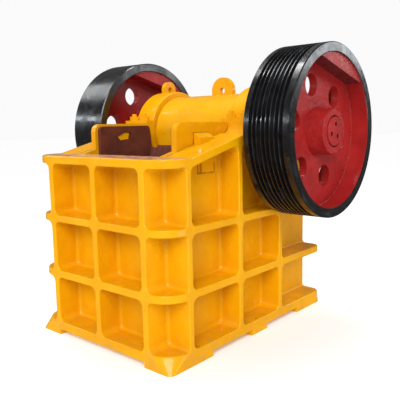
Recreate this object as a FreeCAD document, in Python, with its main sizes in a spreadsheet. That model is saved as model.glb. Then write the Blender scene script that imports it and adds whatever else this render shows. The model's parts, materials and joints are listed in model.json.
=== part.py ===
"""Single-toggle jaw crusher of the 400 x 600 mm class, modelled in FreeCAD, in millimetres.

X runs along the eccentric shaft towards the belt sheave, Y from the fixed jaw to the rear
of the frame, Z up.  The origin lies on the ground at the centre of the six foundation bolts.
"""
import FreeCAD, Part
import Sketcher
import math
import os
import re
from FreeCAD import Placement, Rotation, Vector

# ----------------------------------------------------------------------------------------
# Driving sizes: (alias, value, meaning).  A value that starts with "=" is a sheet formula.
# ----------------------------------------------------------------------------------------
SIZES = [
    # frame, outside
    ("frame_half_width", "530", "centre plane to the outer faces of the side ribs"),
    ("frame_front", "-725", "Y of the front rib faces"),
    ("frame_rear", "724", "Y of the rear end of the side walls"),
    ("deck_top", "1031", "top of the deck flange round the feed end"),
    ("deck_thick", "44", "thickness of the deck flange"),
    ("foot_tall", "30", "height of the feet under the base flange"),
    ("base_thick", "48", "thickness of the base flange"),
    ("corner_round", "140", "plan radius of the two front corners"),
    ("rear_round", "60", "plan radius at the rear ends of the side ribs"),
    ("bay_round", "34", "corner radius of the bays between ribs"),
    ("bay_fillet", "18", "radius between the walls and the ribs that stand on them"),
    ("edge_round", "8", "radius on the outer edges of the castings"),
    ("turned_chamfer", "5", "chamfer on the edges of turned pieces"),
    ("past", "1", "how far cutting tools run past the faces that they cut"),
    ("bay_past", "60", "how far the outermost bays run out past the frame"),
    ("rear_bay_drop", "121.6", "top of the rear bays below the deck where they run out"),
    # ribs
    ("rib_thick", "36", "thickness of every upright rib"),
    ("rib_low_under", "340", "underside of the lower level rib"),
    ("rib_low_top", "383", "top of the lower level rib"),
    ("rib_high_under", "661", "underside of the upper level rib"),
    ("rib_high_top", "701", "top of the upper level rib"),
    ("front_rib_pitch", "363", "spacing of the three front ribs"),
    ("front_rib_depth", "144", "depth of the front bays"),
    ("side_rib_one", "-562.6", "Y of the first side rib"),
    ("side_rib_two", "-153.7", "Y of the second side rib"),
    ("side_rib_three", "237", "Y of the third side rib"),
    ("side_wall_out", "396", "outer face of the side wall between ribs"),
    # frame, inside
    ("wall_in", "306", "inner faces of the side walls"),
    ("front_wall_thick", "46", "thickness of the front wall"),
    ("rear_wall_front", "600", "Y of the inner face of the rear wall"),
    ("rear_wall_thick", "46", "thickness of the rear wall"),
    ("rear_wall_drop", "806", "underside of the rear wall below the shaft axis"),
    # cheeks above the deck
    ("cheek_front", "-445", "Y of the front edges of the upstanding cheeks"),
    ("cheek_tall", "167", "height of the upstanding cheeks above the deck"),
    ("cheek_thick", "36", "thickness of the upstanding cheeks"),
    ("cheek_round", "45", "radius of the front top corner of a cheek"),
    # shaft and bearings
    ("shaft_y", "282", "Y of the shaft axis"),
    ("shaft_rise", "105", "height of the shaft axis above the deck"),
    ("eccentricity", "10", "throw of the eccentric"),
    ("eccentric_angle", "252", "direction of the throw at rest, degrees from +Y towards +Z"),
    ("journal_r", "85", "radius of the main journals"),
    ("eccentric_r", "98", "radius of the eccentric journal"),
    ("bearing_r", "200", "outer radius of the main bearings"),
    ("bearing_in", "330", "inner end of a main bearing"),
    ("bearing_out", "440", "outer end of a main bearing"),
    ("housing_r", "267", "outer radius of the bearing housings"),
    ("housing_out", "458", "outer end of the bearing housings"),
    ("seat_out", "503", "outer end of the bearing seats and cap ears"),
    ("seat_half", "313", "half length of the bearing seats along Y"),
    ("split_rise", "57", "split between seat and cap above the shaft axis"),
    ("ear_thick", "24", "thickness of the cap ears"),
    ("seat_fillet", "45", "radius between the deck and the front of a seat"),
    ("level_run", "79", "level deck ahead of the bearing seats"),
    ("seat_run", "15", "level deck behind the bearing seats"),
    ("cover_r", "240", "radius of the bearing end covers"),
    ("cover_thick", "24", "thickness of the bearing end covers"),
    ("cover_gap", "6", "gap round a bearing cover and round the shaft in it"),
    ("film", "0.05", "oil film between journals and bearings"),
    ("journal_step", "14", "eccentric journal ends short of the main bearings' inner ends"),
    ("collar_gap", "8", "gap between a bearing cover and the shaft's collar"),
    ("collar_tall", "16", "height of the shaft collars above the journals"),
    ("cap_bolt_y", "287", "cap bolts, distance before and behind the shaft"),
    ("cap_bolt_in", "352", "inner cap bolts"),
    ("cap_bolt_out", "446", "outer cap bolts"),
    ("cap_stud_r", "15", "radius of the cap studs"),
    ("cap_nut_flats", "50", "width across flats of the cap nuts"),
    ("cap_nut_tall", "26", "height of the cap nuts"),
    ("cap_stud_out", "16", "cap studs above their nuts"),
    ("eye_x", "404", "middle of the lifting eye on a cap"),
    ("eye_thick", "30", "thickness of the lifting eyes"),
    ("eye_r", "53", "outer radius of the cap lifting eyes"),
    ("eye_hole_r", "18", "hole radius of the cap lifting eyes"),
    ("eye_sunk", "20", "neck of a lifting eye runs this far down into its cap"),
    # wheels
    ("wheel_r", "475", "radius of sheave and flywheel"),
    ("wheel_gap", "39", "gap between the side ribs and the rims"),
    ("wheel_wide", "279", "width of the rims"),
    ("rim_r", "421", "inner radius of the rims"),
    ("web_set", "125", "wheel web from the inner face of its rim"),
    ("web_thick", "46", "thickness of the wheel webs"),
    ("hub_r", "124", "radius of the wheel hubs at their ends"),
    ("hub_root_r", "137", "radius of the wheel hubs at the web"),
    ("hub_set", "16", "inner end of a hub from the inner face of its rim"),
    ("hub_short", "7", "outer end of a hub behind the outer face of its rim"),
    ("disc_r", "80", "radius of the shaft end discs"),
    ("disc_thick", "20", "thickness of the shaft end discs"),
    ("disc_sunk", "14", "depth of the recess for a shaft end disc"),
    ("disc_gap", "8", "gap round a shaft end disc in its recess"),
    ("web_hole_r", "62", "radius of the holes in the webs"),
    ("web_hole_ring", "264", "radius of the ring of web holes"),
    ("web_hole_first", "-17", "direction of the first web hole, degrees from +Z towards +Y"),
    ("weight_chord", "345", "distance of the counterweight's flat side from the shaft"),
    ("weight_inset", "12", "counterweight below the rim faces"),
    ("weight_angle", "15", "direction of the counterweights, degrees from +Z towards +Y"),
    ("groove_count", "8", "belt grooves of the sheave"),
    ("groove_pitch", "26.2", "pitch of the belt grooves"),
    ("groove_deep", "19", "depth of the belt grooves"),
    ("groove_top", "21", "width of a belt groove at the rim surface"),
    ("groove_root", "11", "width of a belt groove at its bottom"),
    ("groove_start", "46", "first belt groove from the inner face of the rim"),
    # jaws
    ("jaw_half", "279", "half width of the jaw plates"),
    ("tooth_count", "12", "teeth across a jaw plate"),
    ("tooth_tall", "20", "height of the jaw teeth"),
    ("jaw_thick", "80", "thickness of a jaw plate over its teeth"),
    ("fixed_jaw_back", "-515", "Y of the back of the fixed jaw plate"),
    ("fixed_jaw_long", "755", "length of the fixed jaw plate"),
    ("fixed_jaw_drop", "26", "top of the fixed jaw plate below the deck"),
    ("jaw_seat_short", "15", "top of the fixed jaw seat below its plate's top"),
    ("ledge_tall", "50", "height of the ledge under the fixed jaw plate"),
    ("ledge_short", "10", "ledge behind the valleys between the teeth"),
    ("moving_jaw_tilt", "23.2", "lean of the moving jaw plate, degrees from upright"),
    ("moving_jaw_y", "-30", "Y of the moving jaw plate's top front edge"),
    ("moving_jaw_rise", "19", "top front edge of the moving jaw plate above the deck"),
    ("moving_jaw_long", "849", "length of the moving jaw plate"),
    ("liner_thick", "22", "thickness of the cheek plates"),
    ("liner_setback", "20", "cheek plates behind the cheek's front edge"),
    ("liner_drop", "14", "cheek plates below the cheek's top"),
    ("liner_below", "60", "cheek plates below the foot of the fixed jaw plate"),
    ("liner_gap", "1", "gap between cheek plates and front wall"),
    ("liner_step", "12", "cheek plates' front step below the deck"),
    ("liner_over", "3", "cheek plates' top end behind the moving jaw's top edge"),
    ("liner_wide", "23", "cheek plates at deck height behind the moving jaw's top edge"),
    ("liner_taper", "90", "taper of the cheek plates starts this far below the deck"),
    ("liner_foot_y", "-300", "Y of the cheek plates' lower rear corner"),
    ("liner_round", "26", "radius of the rear top corner of a cheek plate"),
    ("key_y", "-238", "Y of the keys that hold the cheek plates"),
    ("key_drop", "75", "keys of the cheek plates below the cheek's top"),
    ("key_inset", "5", "keys below the face of the cheek plates"),
    ("key_gap", "12", "open end of a key's slot"),
    ("boss_half", "57", "half width of the boss outside a key"),
    ("boss_out", "56", "how far the boss stands out from its cheek"),
    ("boss_sunk", "10", "bosses run this far down into the deck"),
    ("boss_outer_drop", "79", "outer edge of a boss's top below the cheek's top"),
    ("boss_inner_drop", "48", "inner edge of a boss's top below the cheek's top"),
    ("pad_out", "14", "pad under a boss, out from the wall"),
    ("pad_tall", "95", "height of the pad under the deck's top"),
    ("pad_front", "8", "pad ahead of its boss"),
    ("pad_rear", "2", "pad behind its boss"),
    ("clamp_set", "22", "lower front edge of the jaw clamp behind the jaw's face"),
    ("clamp_top_set", "30", "upper front edge of the jaw clamp behind the jaw's face"),
    ("clamp_low", "5", "jaw clamp below the lip"),
    ("clamp_short", "30", "jaw clamp short of the jaw's sides"),
    # pitman
    ("barrel_r", "240", "radius of the pitman barrel"),
    ("barrel_half", "300", "half length of the pitman barrel"),
    ("pitman_half", "268", "half width of the pitman below its barrel"),
    ("pitman_plate", "50", "thickness of the pitman's jaw seat"),
    ("pitman_rib", "34", "thickness of the pitman's upright ribs"),
    ("pitman_bearing_r", "150", "outer radius of the pitman bearings"),
    ("pitman_bearing_in", "190", "inner end of a pitman bearing"),
    ("pitman_bearing_out", "286", "outer end of a pitman bearing"),
    ("lip_back", "57", "lip behind the moving jaw's face"),
    ("lip_above", "29", "lip above the top of the moving jaw plate"),
    ("lug_y", "377", "middle of the lifting lug on the barrel"),
    ("lug_half", "85", "half width of the lifting lug"),
    ("lug_thick", "32", "thickness of the lifting lug"),
    ("lug_hole_r", "21", "hole radius of the lifting lug"),
    ("lug_hole_up", "262", "lug hole above the shaft axis"),
    ("lug_foot_up", "170", "foot of the lug's neck above the eccentric axis"),
    ("jaw_lip", "18", "lip under the moving jaw plate behind its face"),
    ("pitman_foot", "44", "pitman below the foot of its jaw plate"),
    ("rib_from", "800", "pitman ribs start this far down along the jaw"),
    ("beam_from", "700", "toggle beam starts this far down along the jaw"),
    ("beam_foot", "160", "lower rear edge of the toggle beam behind the jaw's face"),
    ("ear_apart", "34", "ears each side of a tension rod from its middle"),
    ("ear_half", "9", "half thickness of a tension rod ear"),
    ("pin_half", "43", "half length of a tension rod pin"),
    # toggle and tension rods
    ("toggle_half", "220", "half width of the toggle plate"),
    ("toggle_thick", "50", "thickness of the toggle plate"),
    ("toggle_rear_y", "452", "Y of the toggle plate's rear end"),
    ("toggle_drop", "650", "toggle plate's rear end below the shaft axis"),
    ("toggle_long", "513", "length of the toggle plate"),
    ("toggle_tilt", "16.6", "rise of the toggle plate towards the rear, degrees"),
    ("block_tall", "150", "height of the rear toggle block"),
    ("toggle_taper", "14", "length of the toggle plate's tapered ends"),
    ("block_wider", "20", "toggle block beyond the toggle plate's sides"),
    ("shim_wider", "10", "shims beyond the toggle plate's sides"),
    ("shim_below", "10", "shims below the toggle block"),
    ("shim_above", "30", "shims above the toggle block"),
    ("shim_thick", "36", "thickness of the pack of adjusting shims"),
    ("rod_x", "150", "tension rods, distance from the centre plane"),
    ("rod_r", "18", "radius of the tension rods"),
    ("rod_pin_r", "15", "radius of the pins in the tension rod eyes"),
    ("rod_pin_y", "-100", "Y of the tension rod pins"),
    ("rod_pin_drop", "921", "tension rod pins below the shaft axis"),
    ("rod_eye_gap", "5", "free space round a pin in its eye, beyond the throw"),
    ("rod_end_y", "840", "Y of the rear ends of the tension rods"),
    ("bracket_y", "664", "Y of the spring bracket's front face"),
    ("bracket_thick", "30", "thickness of the spring bracket"),
    ("bracket_half", "215", "half width of the spring bracket"),
    ("bracket_below", "55", "spring bracket below the tension rods"),
    ("bracket_gap", "4", "gap round a tension rod in the spring bracket"),
    ("rod_eye_wall", "16", "wall of a tension rod's eye"),
    ("rod_eye_half", "15", "half thickness of a tension rod's eye"),
    ("shank_start", "6", "shank of a tension rod starts this far outside its eye hole"),
    ("rod_nut_r", "32.4", "corner radius of the rod nuts"),
    ("rod_nut_tall", "20", "height of the rod nuts"),
    ("rod_nut_past", "10", "nut bores run past the ends of the rods"),
    ("spring_r", "40", "outer radius of the rod springs"),
    ("spring_wall", "12", "wall of the springs' envelope"),
    ("washer_wider", "5", "spring washers beyond their springs"),
    ("spring_long", "80", "length of the rod springs"),
    ("washer_thick", "8", "thickness of the spring washers"),
    # feet and foundation
    ("foot_in", "350", "inner edge of the feet"),
    ("foot_round", "32", "plan radius of the front feet where they stand"),
    ("front_foot_end", "-404", "Y of the rear end of a front foot"),
    ("mid_foot_start", "-63", "Y of the front end of a middle foot"),
    ("mid_foot_end", "88", "Y of the rear end of a middle foot"),
    ("rear_foot_start", "425", "Y of the front end of a rear foot"),
    ("rear_foot_end", "690", "Y of the rear end of a rear foot"),
    ("anchor_inset", "30", "foundation bolts inside the outer faces of the side ribs"),
    ("anchor_y", "502", "foundation bolts, spacing along Y"),
    ("anchor_hole_r", "16.5", "radius of the foundation bolt holes"),
    # worked out
    ("base_top", "=foot_tall + base_thick", "top of the base flange"),
    ("deck_under", "=deck_top - deck_thick", "underside of the deck flange"),
    ("front_wall_out", "=frame_front + front_rib_depth", "outer face of the front wall"),
    ("front_wall_in", "=front_wall_out + front_wall_thick", "inner face of the front wall"),
    ("side_start", "=side_rib_one", "plane where front wall and side walls meet"),
    ("cheek_top", "=deck_top + cheek_tall", "top of the upstanding cheeks"),
    ("cheek_out", "=wall_in + cheek_thick", "outer faces of the cheeks"),
    ("seat_front", "=shaft_y - seat_half", "front face of the bearing seats"),
    ("seat_rear", "=shaft_y + seat_half", "rear face of the bearing seats"),
    ("ramp_end", "=seat_front - level_run", "Y where the rising deck reaches the seats' level"),
    ("shaft_z", "=deck_top + shaft_rise", "height of the shaft axis"),
    ("seat_deck", "=shaft_z", "height of the raised deck beside the seats"),
    ("split_z", "=shaft_z + split_rise", "height of the split between seat and cap"),
    ("ramp_slope", "=(seat_deck - deck_top) / (ramp_end - front_wall_in)", "rise of the deck"),
    ("axis_y", "=shaft_y + eccentricity * cos(eccentric_angle)", "Y of the eccentric axis"),
    ("axis_z", "=shaft_z + eccentricity * sin(eccentric_angle)", "height of that axis"),
    ("rear_wall_under", "=shaft_z - rear_wall_drop", "underside of the rear wall"),
    ("wheel_in", "=frame_half_width + wheel_gap", "inner face of the rims"),
    ("wheel_out", "=wheel_in + wheel_wide", "outer face of the rims"),
    ("web_in", "=wheel_in + web_set", "inner face of the wheel webs"),
    ("web_out", "=web_in + web_thick", "outer face of the wheel webs"),
    ("hub_in", "=wheel_in + hub_set", "inner end of the wheel hubs"),
    ("hub_out", "=wheel_out - hub_short", "outer end of the wheel hubs"),
    ("groove_first", "=wheel_in + groove_start", "X of the first groove"),
    ("fixed_jaw_top", "=deck_top - fixed_jaw_drop", "top of the fixed jaw plate"),
    ("fixed_jaw_foot", "=fixed_jaw_top - fixed_jaw_long", "bottom of the fixed jaw plate"),
    ("moving_jaw_z", "=deck_top + moving_jaw_rise", "height of the moving jaw's top edge"),
    ("key_z", "=cheek_top - key_drop", "height of the keys"),
    ("jaw_cos", "=cos(moving_jaw_tilt)", "cosine of the moving jaw's lean"),
    ("jaw_sin", "=sin(moving_jaw_tilt)", "sine of the moving jaw's lean"),
    ("liner_in", "=wall_in - liner_thick", "inner faces of the cheek plates"),
    ("liner_top", "=cheek_top - liner_drop", "top of the cheek plates"),
    ("liner_foot", "=fixed_jaw_foot - liner_below", "bottom of the cheek plates"),
    ("liner_front", "=cheek_front + liner_setback", "front edge of the cheek plates"),
    ("toggle_rear_z", "=shaft_z - toggle_drop", "height of the toggle plate's rear end"),
    ("rod_pin_z", "=shaft_z - rod_pin_drop", "height of the tension rod pins"),
    ("anchor_x", "=frame_half_width - anchor_inset", "foundation bolts from the centre plane"),
    ("toggle_cos", "=cos(toggle_tilt)", "cosine of the toggle's rise"),
    ("toggle_sin", "=sin(toggle_tilt)", "sine of the toggle's rise"),
    ("rod_eye_y", "=rod_pin_y - eccentricity * cos(eccentric_angle)", "Y of the rod eyes"),
    ("rod_eye_z", "=rod_pin_z - eccentricity * sin(eccentric_angle)", "height of the rod eyes"),
    ("rod_eye_r", "=rod_pin_r + eccentricity + rod_eye_gap", "radius of the rod eye holes"),
    ("spring_start", "=bracket_y + bracket_thick", "Y of the front end of the springs"),
]

doc = FreeCAD.newDocument("JawCrusher")
sheet = doc.addObject("Spreadsheet::Sheet", "Sizes")
for row, (alias, value, meaning) in enumerate(SIZES, start=1):
    sheet.set(f"A{row}", meaning)
    sheet.set(f"B{row}", value)
    sheet.setAlias(f"B{row}", alias)
doc.recompute()

ALIASES = {alias for alias, value, meaning in SIZES}
PLANE_ROLES = {"XY": "XY_Plane", "XZ": "XZ_Plane", "YZ": "YZ_Plane"}
NEAR = 0.01
nodes = []


# ----------------------------------------------------------------------------------------
# Helpers
# ----------------------------------------------------------------------------------------
def size(alias):
    """The present value of one cell."""
    return float(sheet.get(alias))


def qualified(text):
    """The expression with every alias written as a reference to the sheet."""
    return re.sub(r"[a-z][a-z_]*", lambda m: f"Sizes.{m.group(0)}" if m.group(0) in ALIASES
                  else m.group(0), text)


def bind(thing, **properties):
    for name, text in properties.items():
        thing.setExpression(name, qualified(text))


def place(thing, x="0", y="0", z="0"):
    for letter, text in (("x", x), ("y", y), ("z", z)):
        thing.setExpression(f".Placement.Base.{letter}", qualified(text))


def box(name, x, y, z):
    """A box between two expressions along each axis."""
    solid = doc.addObject("Part::Box", name)
    for prop, (low, high) in (("Length", x), ("Width", y), ("Height", z)):
        solid.setExpression(prop, qualified(f"({high}) - ({low})"))
    place(solid, x[0], y[0], z[0])
    return solid


def rod(name, radius, start, end, y, z):
    """A cylinder along X."""
    solid = doc.addObject("Part::Cylinder", name)
    bind(solid, Radius=radius, Height=f"({end}) - ({start})")
    solid.Placement = Placement(Vector(0, 0, 0), Rotation(Vector(0, 1, 0), 90))
    place(solid, start, y, z)
    return solid


def rod_along_y(name, radius, start, end, x, z):
    """A cylinder along Y."""
    solid = doc.addObject("Part::Cylinder", name)
    bind(solid, Radius=radius, Height=f"({end}) - ({start})")
    solid.Placement = Placement(Vector(0, 0, 0), Rotation(Vector(1, 0, 0), -90))
    place(solid, x, start, z)
    return solid


def post(name, radius, start, end, x, y):
    """An upright cylinder."""
    solid = doc.addObject("Part::Cylinder", name)
    bind(solid, Radius=radius, Height=f"({end}) - ({start})")
    place(solid, x, y, start)
    return solid


def sketch_on(body, plane, name, offset="0"):
    """A sketch on one of the body's origin planes, moved along the plane's normal."""
    drawing = body.newObject("Sketcher::SketchObject", name)
    role = PLANE_ROLES[plane]
    origin_plane = [f for f in body.Origin.OriginFeatures if f.Role == role][0]
    drawing.AttachmentSupport = [(origin_plane, "")]
    drawing.MapMode = "FlatFace"
    drawing.setExpression(".AttachmentOffset.Base.z", qualified(offset))
    return drawing


probe = doc.addObject("App::FeaturePython", "Probe")
probe.addProperty("App::PropertyFloat", "Value")


def number(text):
    """The present value of an expression."""
    return float(probe.evalExpression(qualified(text)))


def draw_polygon(drawing, points):
    """A closed polygon whose corners are held by bound distances from the origin."""
    first = drawing.GeometryCount
    corners = [Vector(number(x), number(y), 0) for x, y in points]
    for index, corner in enumerate(corners):
        following = corners[(index + 1) % len(corners)]
        drawing.addGeometry(Part.LineSegment(corner, following))
    for index in range(len(corners)):
        nxt = (index + 1) % len(corners)
        drawing.addConstraint(Sketcher.Constraint("Coincident", first + index, 2, first + nxt, 1))
    for index, (texts, corner) in enumerate(zip(points, corners)):
        pairs = (("DistanceX", texts[0], corner.x), ("DistanceY", texts[1], corner.y))
        for kind, text, value in pairs:
            rule = Sketcher.Constraint(kind, -1, 1, first + index, 1, value)
            held = drawing.addConstraint(rule)
            drawing.setExpression(f"Constraints[{held}]", qualified(text))


def draw_circle(drawing, x, y, radius):
    """A circle whose centre and radius are bound."""
    centre = Vector(number(x), number(y), 0)
    index = drawing.addGeometry(Part.Circle(centre, Vector(0, 0, 1), number(radius)))
    held = drawing.addConstraint(Sketcher.Constraint("Radius", index, number(radius)))
    drawing.setExpression(f"Constraints[{held}]", qualified(radius))
    for kind, text, value in (("DistanceX", x, centre.x), ("DistanceY", y, centre.y)):
        held = drawing.addConstraint(Sketcher.Constraint(kind, -1, 1, index, 3, value))
        drawing.setExpression(f"Constraints[{held}]", qualified(text))


def prism(name, plane, points, start, end, rounded=None, radius=None):
    """A body padded from a polygon, between two places along the plane's normal.

    rounded is a test on an edge's middle point and direction; edges that pass are filleted.
    """
    body = doc.addObject("PartDesign::Body", name)
    backward = plane == "XZ"
    offset = f"-({start})" if backward else start
    drawing = sketch_on(body, plane, f"{name}Outline", offset)
    draw_polygon(drawing, points)
    pad = body.newObject("PartDesign::Pad", f"{name}Pad")
    pad.Profile = drawing
    bind(pad, Length=f"({end}) - ({start})")
    pad.Reversed = backward
    drawing.Visibility = False
    if rounded:
        round_edges(body, pad, rounded, radius)
    return body


def round_edges(body, feature, chosen, radius):
    """A fillet on the edges of the feature that pass the test."""
    doc.recompute()
    names = []
    for index, edge in enumerate(feature.Shape.Edges, start=1):
        way = (edge.Vertexes[-1].Point - edge.Vertexes[0].Point)
        if way.Length > 0 and chosen(edge.CenterOfMass, way.normalize()):
            names.append(f"Edge{index}")
    fillet = body.newObject("PartDesign::Fillet", f"{body.Name}Fillet{len(body.Group)}")
    fillet.Base = (feature, names)
    bind(fillet, Radius=radius)
    return fillet


def rounded_solid(name, base, chosen, radius):
    """The base with a fillet on the edges that pass the test, which is given each edge."""
    doc.recompute()
    picked = [i for i, edge in enumerate(base.Shape.Edges, start=1) if chosen(edge)]
    solid = doc.addObject("Part::Fillet", name)
    solid.Base = base
    solid.Edges = [(index, size(radius), size(radius)) for index in picked]
    return solid


def edge_points(edge):
    """Ends and middle of an edge."""
    first, last = edge.ParameterRange
    return [edge.valueAt(first), edge.valueAt((first + last) / 2), edge.valueAt(last)]


def whole_circle(edge):
    """True for the round edges of a cylinder, not for its seam."""
    return edge.isClosed()


def upright(points):
    return math.hypot(points[0].x - points[2].x, points[0].y - points[2].y) < NEAR


def fuse(name, parts):
    joined = doc.addObject("Part::MultiFuse", name)
    joined.Shapes = parts
    joined.Refine = True
    return joined


def cut(name, base, tools):
    """The base less the tools."""
    less = doc.addObject("Part::Cut", name)
    less.Base = base
    less.Tool = tools[0] if len(tools) == 1 else fuse(f"{name}Tools", tools)
    less.Refine = True
    return less


def mirrored(name, source):
    """The same piece on the other side of the centre plane."""
    twin = doc.addObject("Part::Mirroring", name)
    twin.Source = source
    twin.Normal = Vector(1, 0, 0)
    twin.Base = Vector(0, 0, 0)
    return twin


def node(thing, label):
    thing.Label = label
    nodes.append(thing)
    return thing


def rectangle(left, right, low, high):
    return [(left, low), (right, low), (right, high), (left, high)]


def along(axis):
    """A test for edges parallel to an axis."""
    return lambda middle, way: abs(way.dot(axis)) > 0.999


# ----------------------------------------------------------------------------------------
# Frame
# ----------------------------------------------------------------------------------------
BAY_ROWS = [("base_top", "rib_low_under"), ("rib_low_top", "rib_high_under"),
            ("rib_high_top", "deck_under")]


def front_wall():
    """The front wall with its ribs, the deck round the front corners and the jaw seat."""
    plan = [("-frame_half_width", "side_start"), ("-frame_half_width", "frame_front"),
            ("frame_half_width", "frame_front"), ("frame_half_width", "side_start"),
            ("side_wall_out", "side_start"), ("side_wall_out", "front_wall_in"),
            ("-side_wall_out", "front_wall_in"), ("-side_wall_out", "side_start")]
    front = size("frame_front")

    def front_corner(middle, way):
        return abs(way.z) > 0.999 and middle.y < front + NEAR

    slab = prism("FrontSlab", "XY", plan, "foot_tall", "deck_top", front_corner, "corner_round")
    bays = []
    for row, (low, high) in enumerate(BAY_ROWS):
        for column, side in enumerate((-1, 1)):
            near = f"{side} * rib_thick / 2"
            far = f"{side} * (front_rib_pitch - rib_thick / 2)"
            left, right = (near, far) if side > 0 else (far, near)
            bays.append(front_bay(f"FrontBay{row}{column}", left, right, low, high,
                                  "front_wall_out"))
            edge = f"{side} * (front_rib_pitch + rib_thick / 2)"
            beyond = f"{side} * (frame_half_width + bay_past)"
            left, right = (edge, beyond) if side > 0 else (beyond, edge)
            bays.append(front_bay(f"CornerBay{row}{column}", left, right, low, high,
                                  "side_rib_one - rib_thick / 2"))
    ribbed = round_front(cut("FrontRibbed", slab, bays))
    seat = box("JawSeat", ("-jaw_half", "jaw_half"), ("front_wall_in", "fixed_jaw_back"),
               ("fixed_jaw_foot", "fixed_jaw_top - jaw_seat_short"))
    ledge = box("JawLedge", ("-jaw_half", "jaw_half"),
                ("front_wall_in", "fixed_jaw_back + jaw_thick - tooth_tall - ledge_short"),
                ("fixed_jaw_foot - ledge_tall", "fixed_jaw_foot"))
    parts = [ribbed, seat, ledge]
    foot = front_foot()
    parts += [foot, mirrored("FrontFootLeft", foot)]
    return node(fuse("FrontWall", parts), "front_wall")


def front_bay(name, left, right, low, high, bottom):
    """The hollow between two front ribs, with rounded corners and a filleted bottom."""
    body = prism(name, "XZ", rectangle(left, right, low, high), "frame_front - past", bottom,
                 along(Vector(0, 1, 0)), "bay_round")
    depth = number(bottom)
    round_edges(body, body.Tip, lambda middle, way: abs(middle.y - depth) < NEAR, "bay_fillet")
    return body


def side_bay(name, corners):
    """The hollow between two side ribs, with rounded corners and a filleted bottom."""
    body = prism(name, "YZ", corners, "side_wall_out", "frame_half_width + past",
                 along(Vector(1, 0, 0)), "bay_round")
    depth = size("side_wall_out")
    round_edges(body, body.Tip, lambda middle, way: abs(middle.x - depth) < NEAR, "bay_fillet")
    return body


def front_foot():
    """The foot under a front corner; its sharper lower corner blends into the round flange."""
    body = doc.addObject("PartDesign::Body", "FrontFootRight")
    sole = sketch_on(body, "XY", "FrontFootSole")
    draw_foot_plan(sole, "foot_round")
    upper = sketch_on(body, "XY", "FrontFootTop", "base_top - edge_round")
    draw_foot_plan(upper, "corner_round")
    loft = body.newObject("PartDesign::AdditiveLoft", "FrontFootLoft")
    loft.Profile = sole
    loft.Sections = [upper]
    loft.Ruled = True
    return body


def draw_foot_plan(drawing, radius):
    """A rectangle under the front corner with one rounded corner."""
    low, high = f"frame_front + {radius}", f"frame_half_width - {radius}"
    points = [("frame_half_width", low), ("frame_half_width", "side_start"),
              ("foot_in", "side_start"), ("foot_in", "frame_front"), (high, "frame_front")]
    corners = [Vector(number(x), number(y), 0) for x, y in points]
    for start, end in zip(corners, corners[1:]):
        drawing.addGeometry(Part.LineSegment(start, end))
    circle = Part.Circle(Vector(corners[4].x, corners[0].y, 0), Vector(0, 0, 1), size(radius))
    arc = drawing.addGeometry(Part.ArcOfCircle(circle, -math.pi / 2, 0))
    for index in range(3):
        drawing.addConstraint(Sketcher.Constraint("Coincident", index, 2, index + 1, 1))
    drawing.addConstraint(Sketcher.Constraint("Coincident", 3, 2, arc, 1))
    drawing.addConstraint(Sketcher.Constraint("Coincident", arc, 2, 0, 1))
    held = drawing.addConstraint(Sketcher.Constraint("Radius", arc, size(radius)))
    drawing.setExpression(f"Constraints[{held}]", qualified(radius))
    ends = [(0, 1), (0, 2), (1, 2), (2, 2), (3, 2)]
    for (line, end), (x, y), corner in zip(ends, points, corners):
        for kind, text, value in (("DistanceX", x, corner.x), ("DistanceY", y, corner.y)):
            held = drawing.addConstraint(Sketcher.Constraint(kind, -1, 1, line, end, value))
            drawing.setExpression(f"Constraints[{held}]", qualified(text))


def round_front(ribbed):
    """The front wall with its outer edges rounded off."""
    front, start = size("frame_front"), size("side_start")
    half, radius = size("frame_half_width"), size("corner_round")
    low = size("foot_tall")

    def outside(p):
        """True where a point lies on the outer surface of the front and its corners."""
        if abs(p.x) < half - radius + NEAR:
            return abs(p.y - front) < NEAR
        if p.y > front + radius - NEAR:
            return abs(abs(p.x) - half) < NEAR
        from_centre = math.hypot(abs(p.x) - (half - radius), p.y - (front + radius))
        return abs(from_centre - radius) < NEAR

    def outer_edge(edge):
        points = edge_points(edge)
        if not all(outside(p) and p.z > low + NEAR for p in points):
            return False
        x, y = abs(points[0].x), points[0].y
        seam = abs(x - half + radius) < NEAR or abs(y - front - radius) < NEAR
        return not (upright(points) and (seam or y > start - NEAR))

    return rounded_solid("FrontEdges", ribbed, outer_edge, "edge_round")


def deck_line(y):
    """Height of the rising deck at a place along Y."""
    return f"(deck_top + ramp_slope * (({y}) - front_wall_in))"


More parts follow.
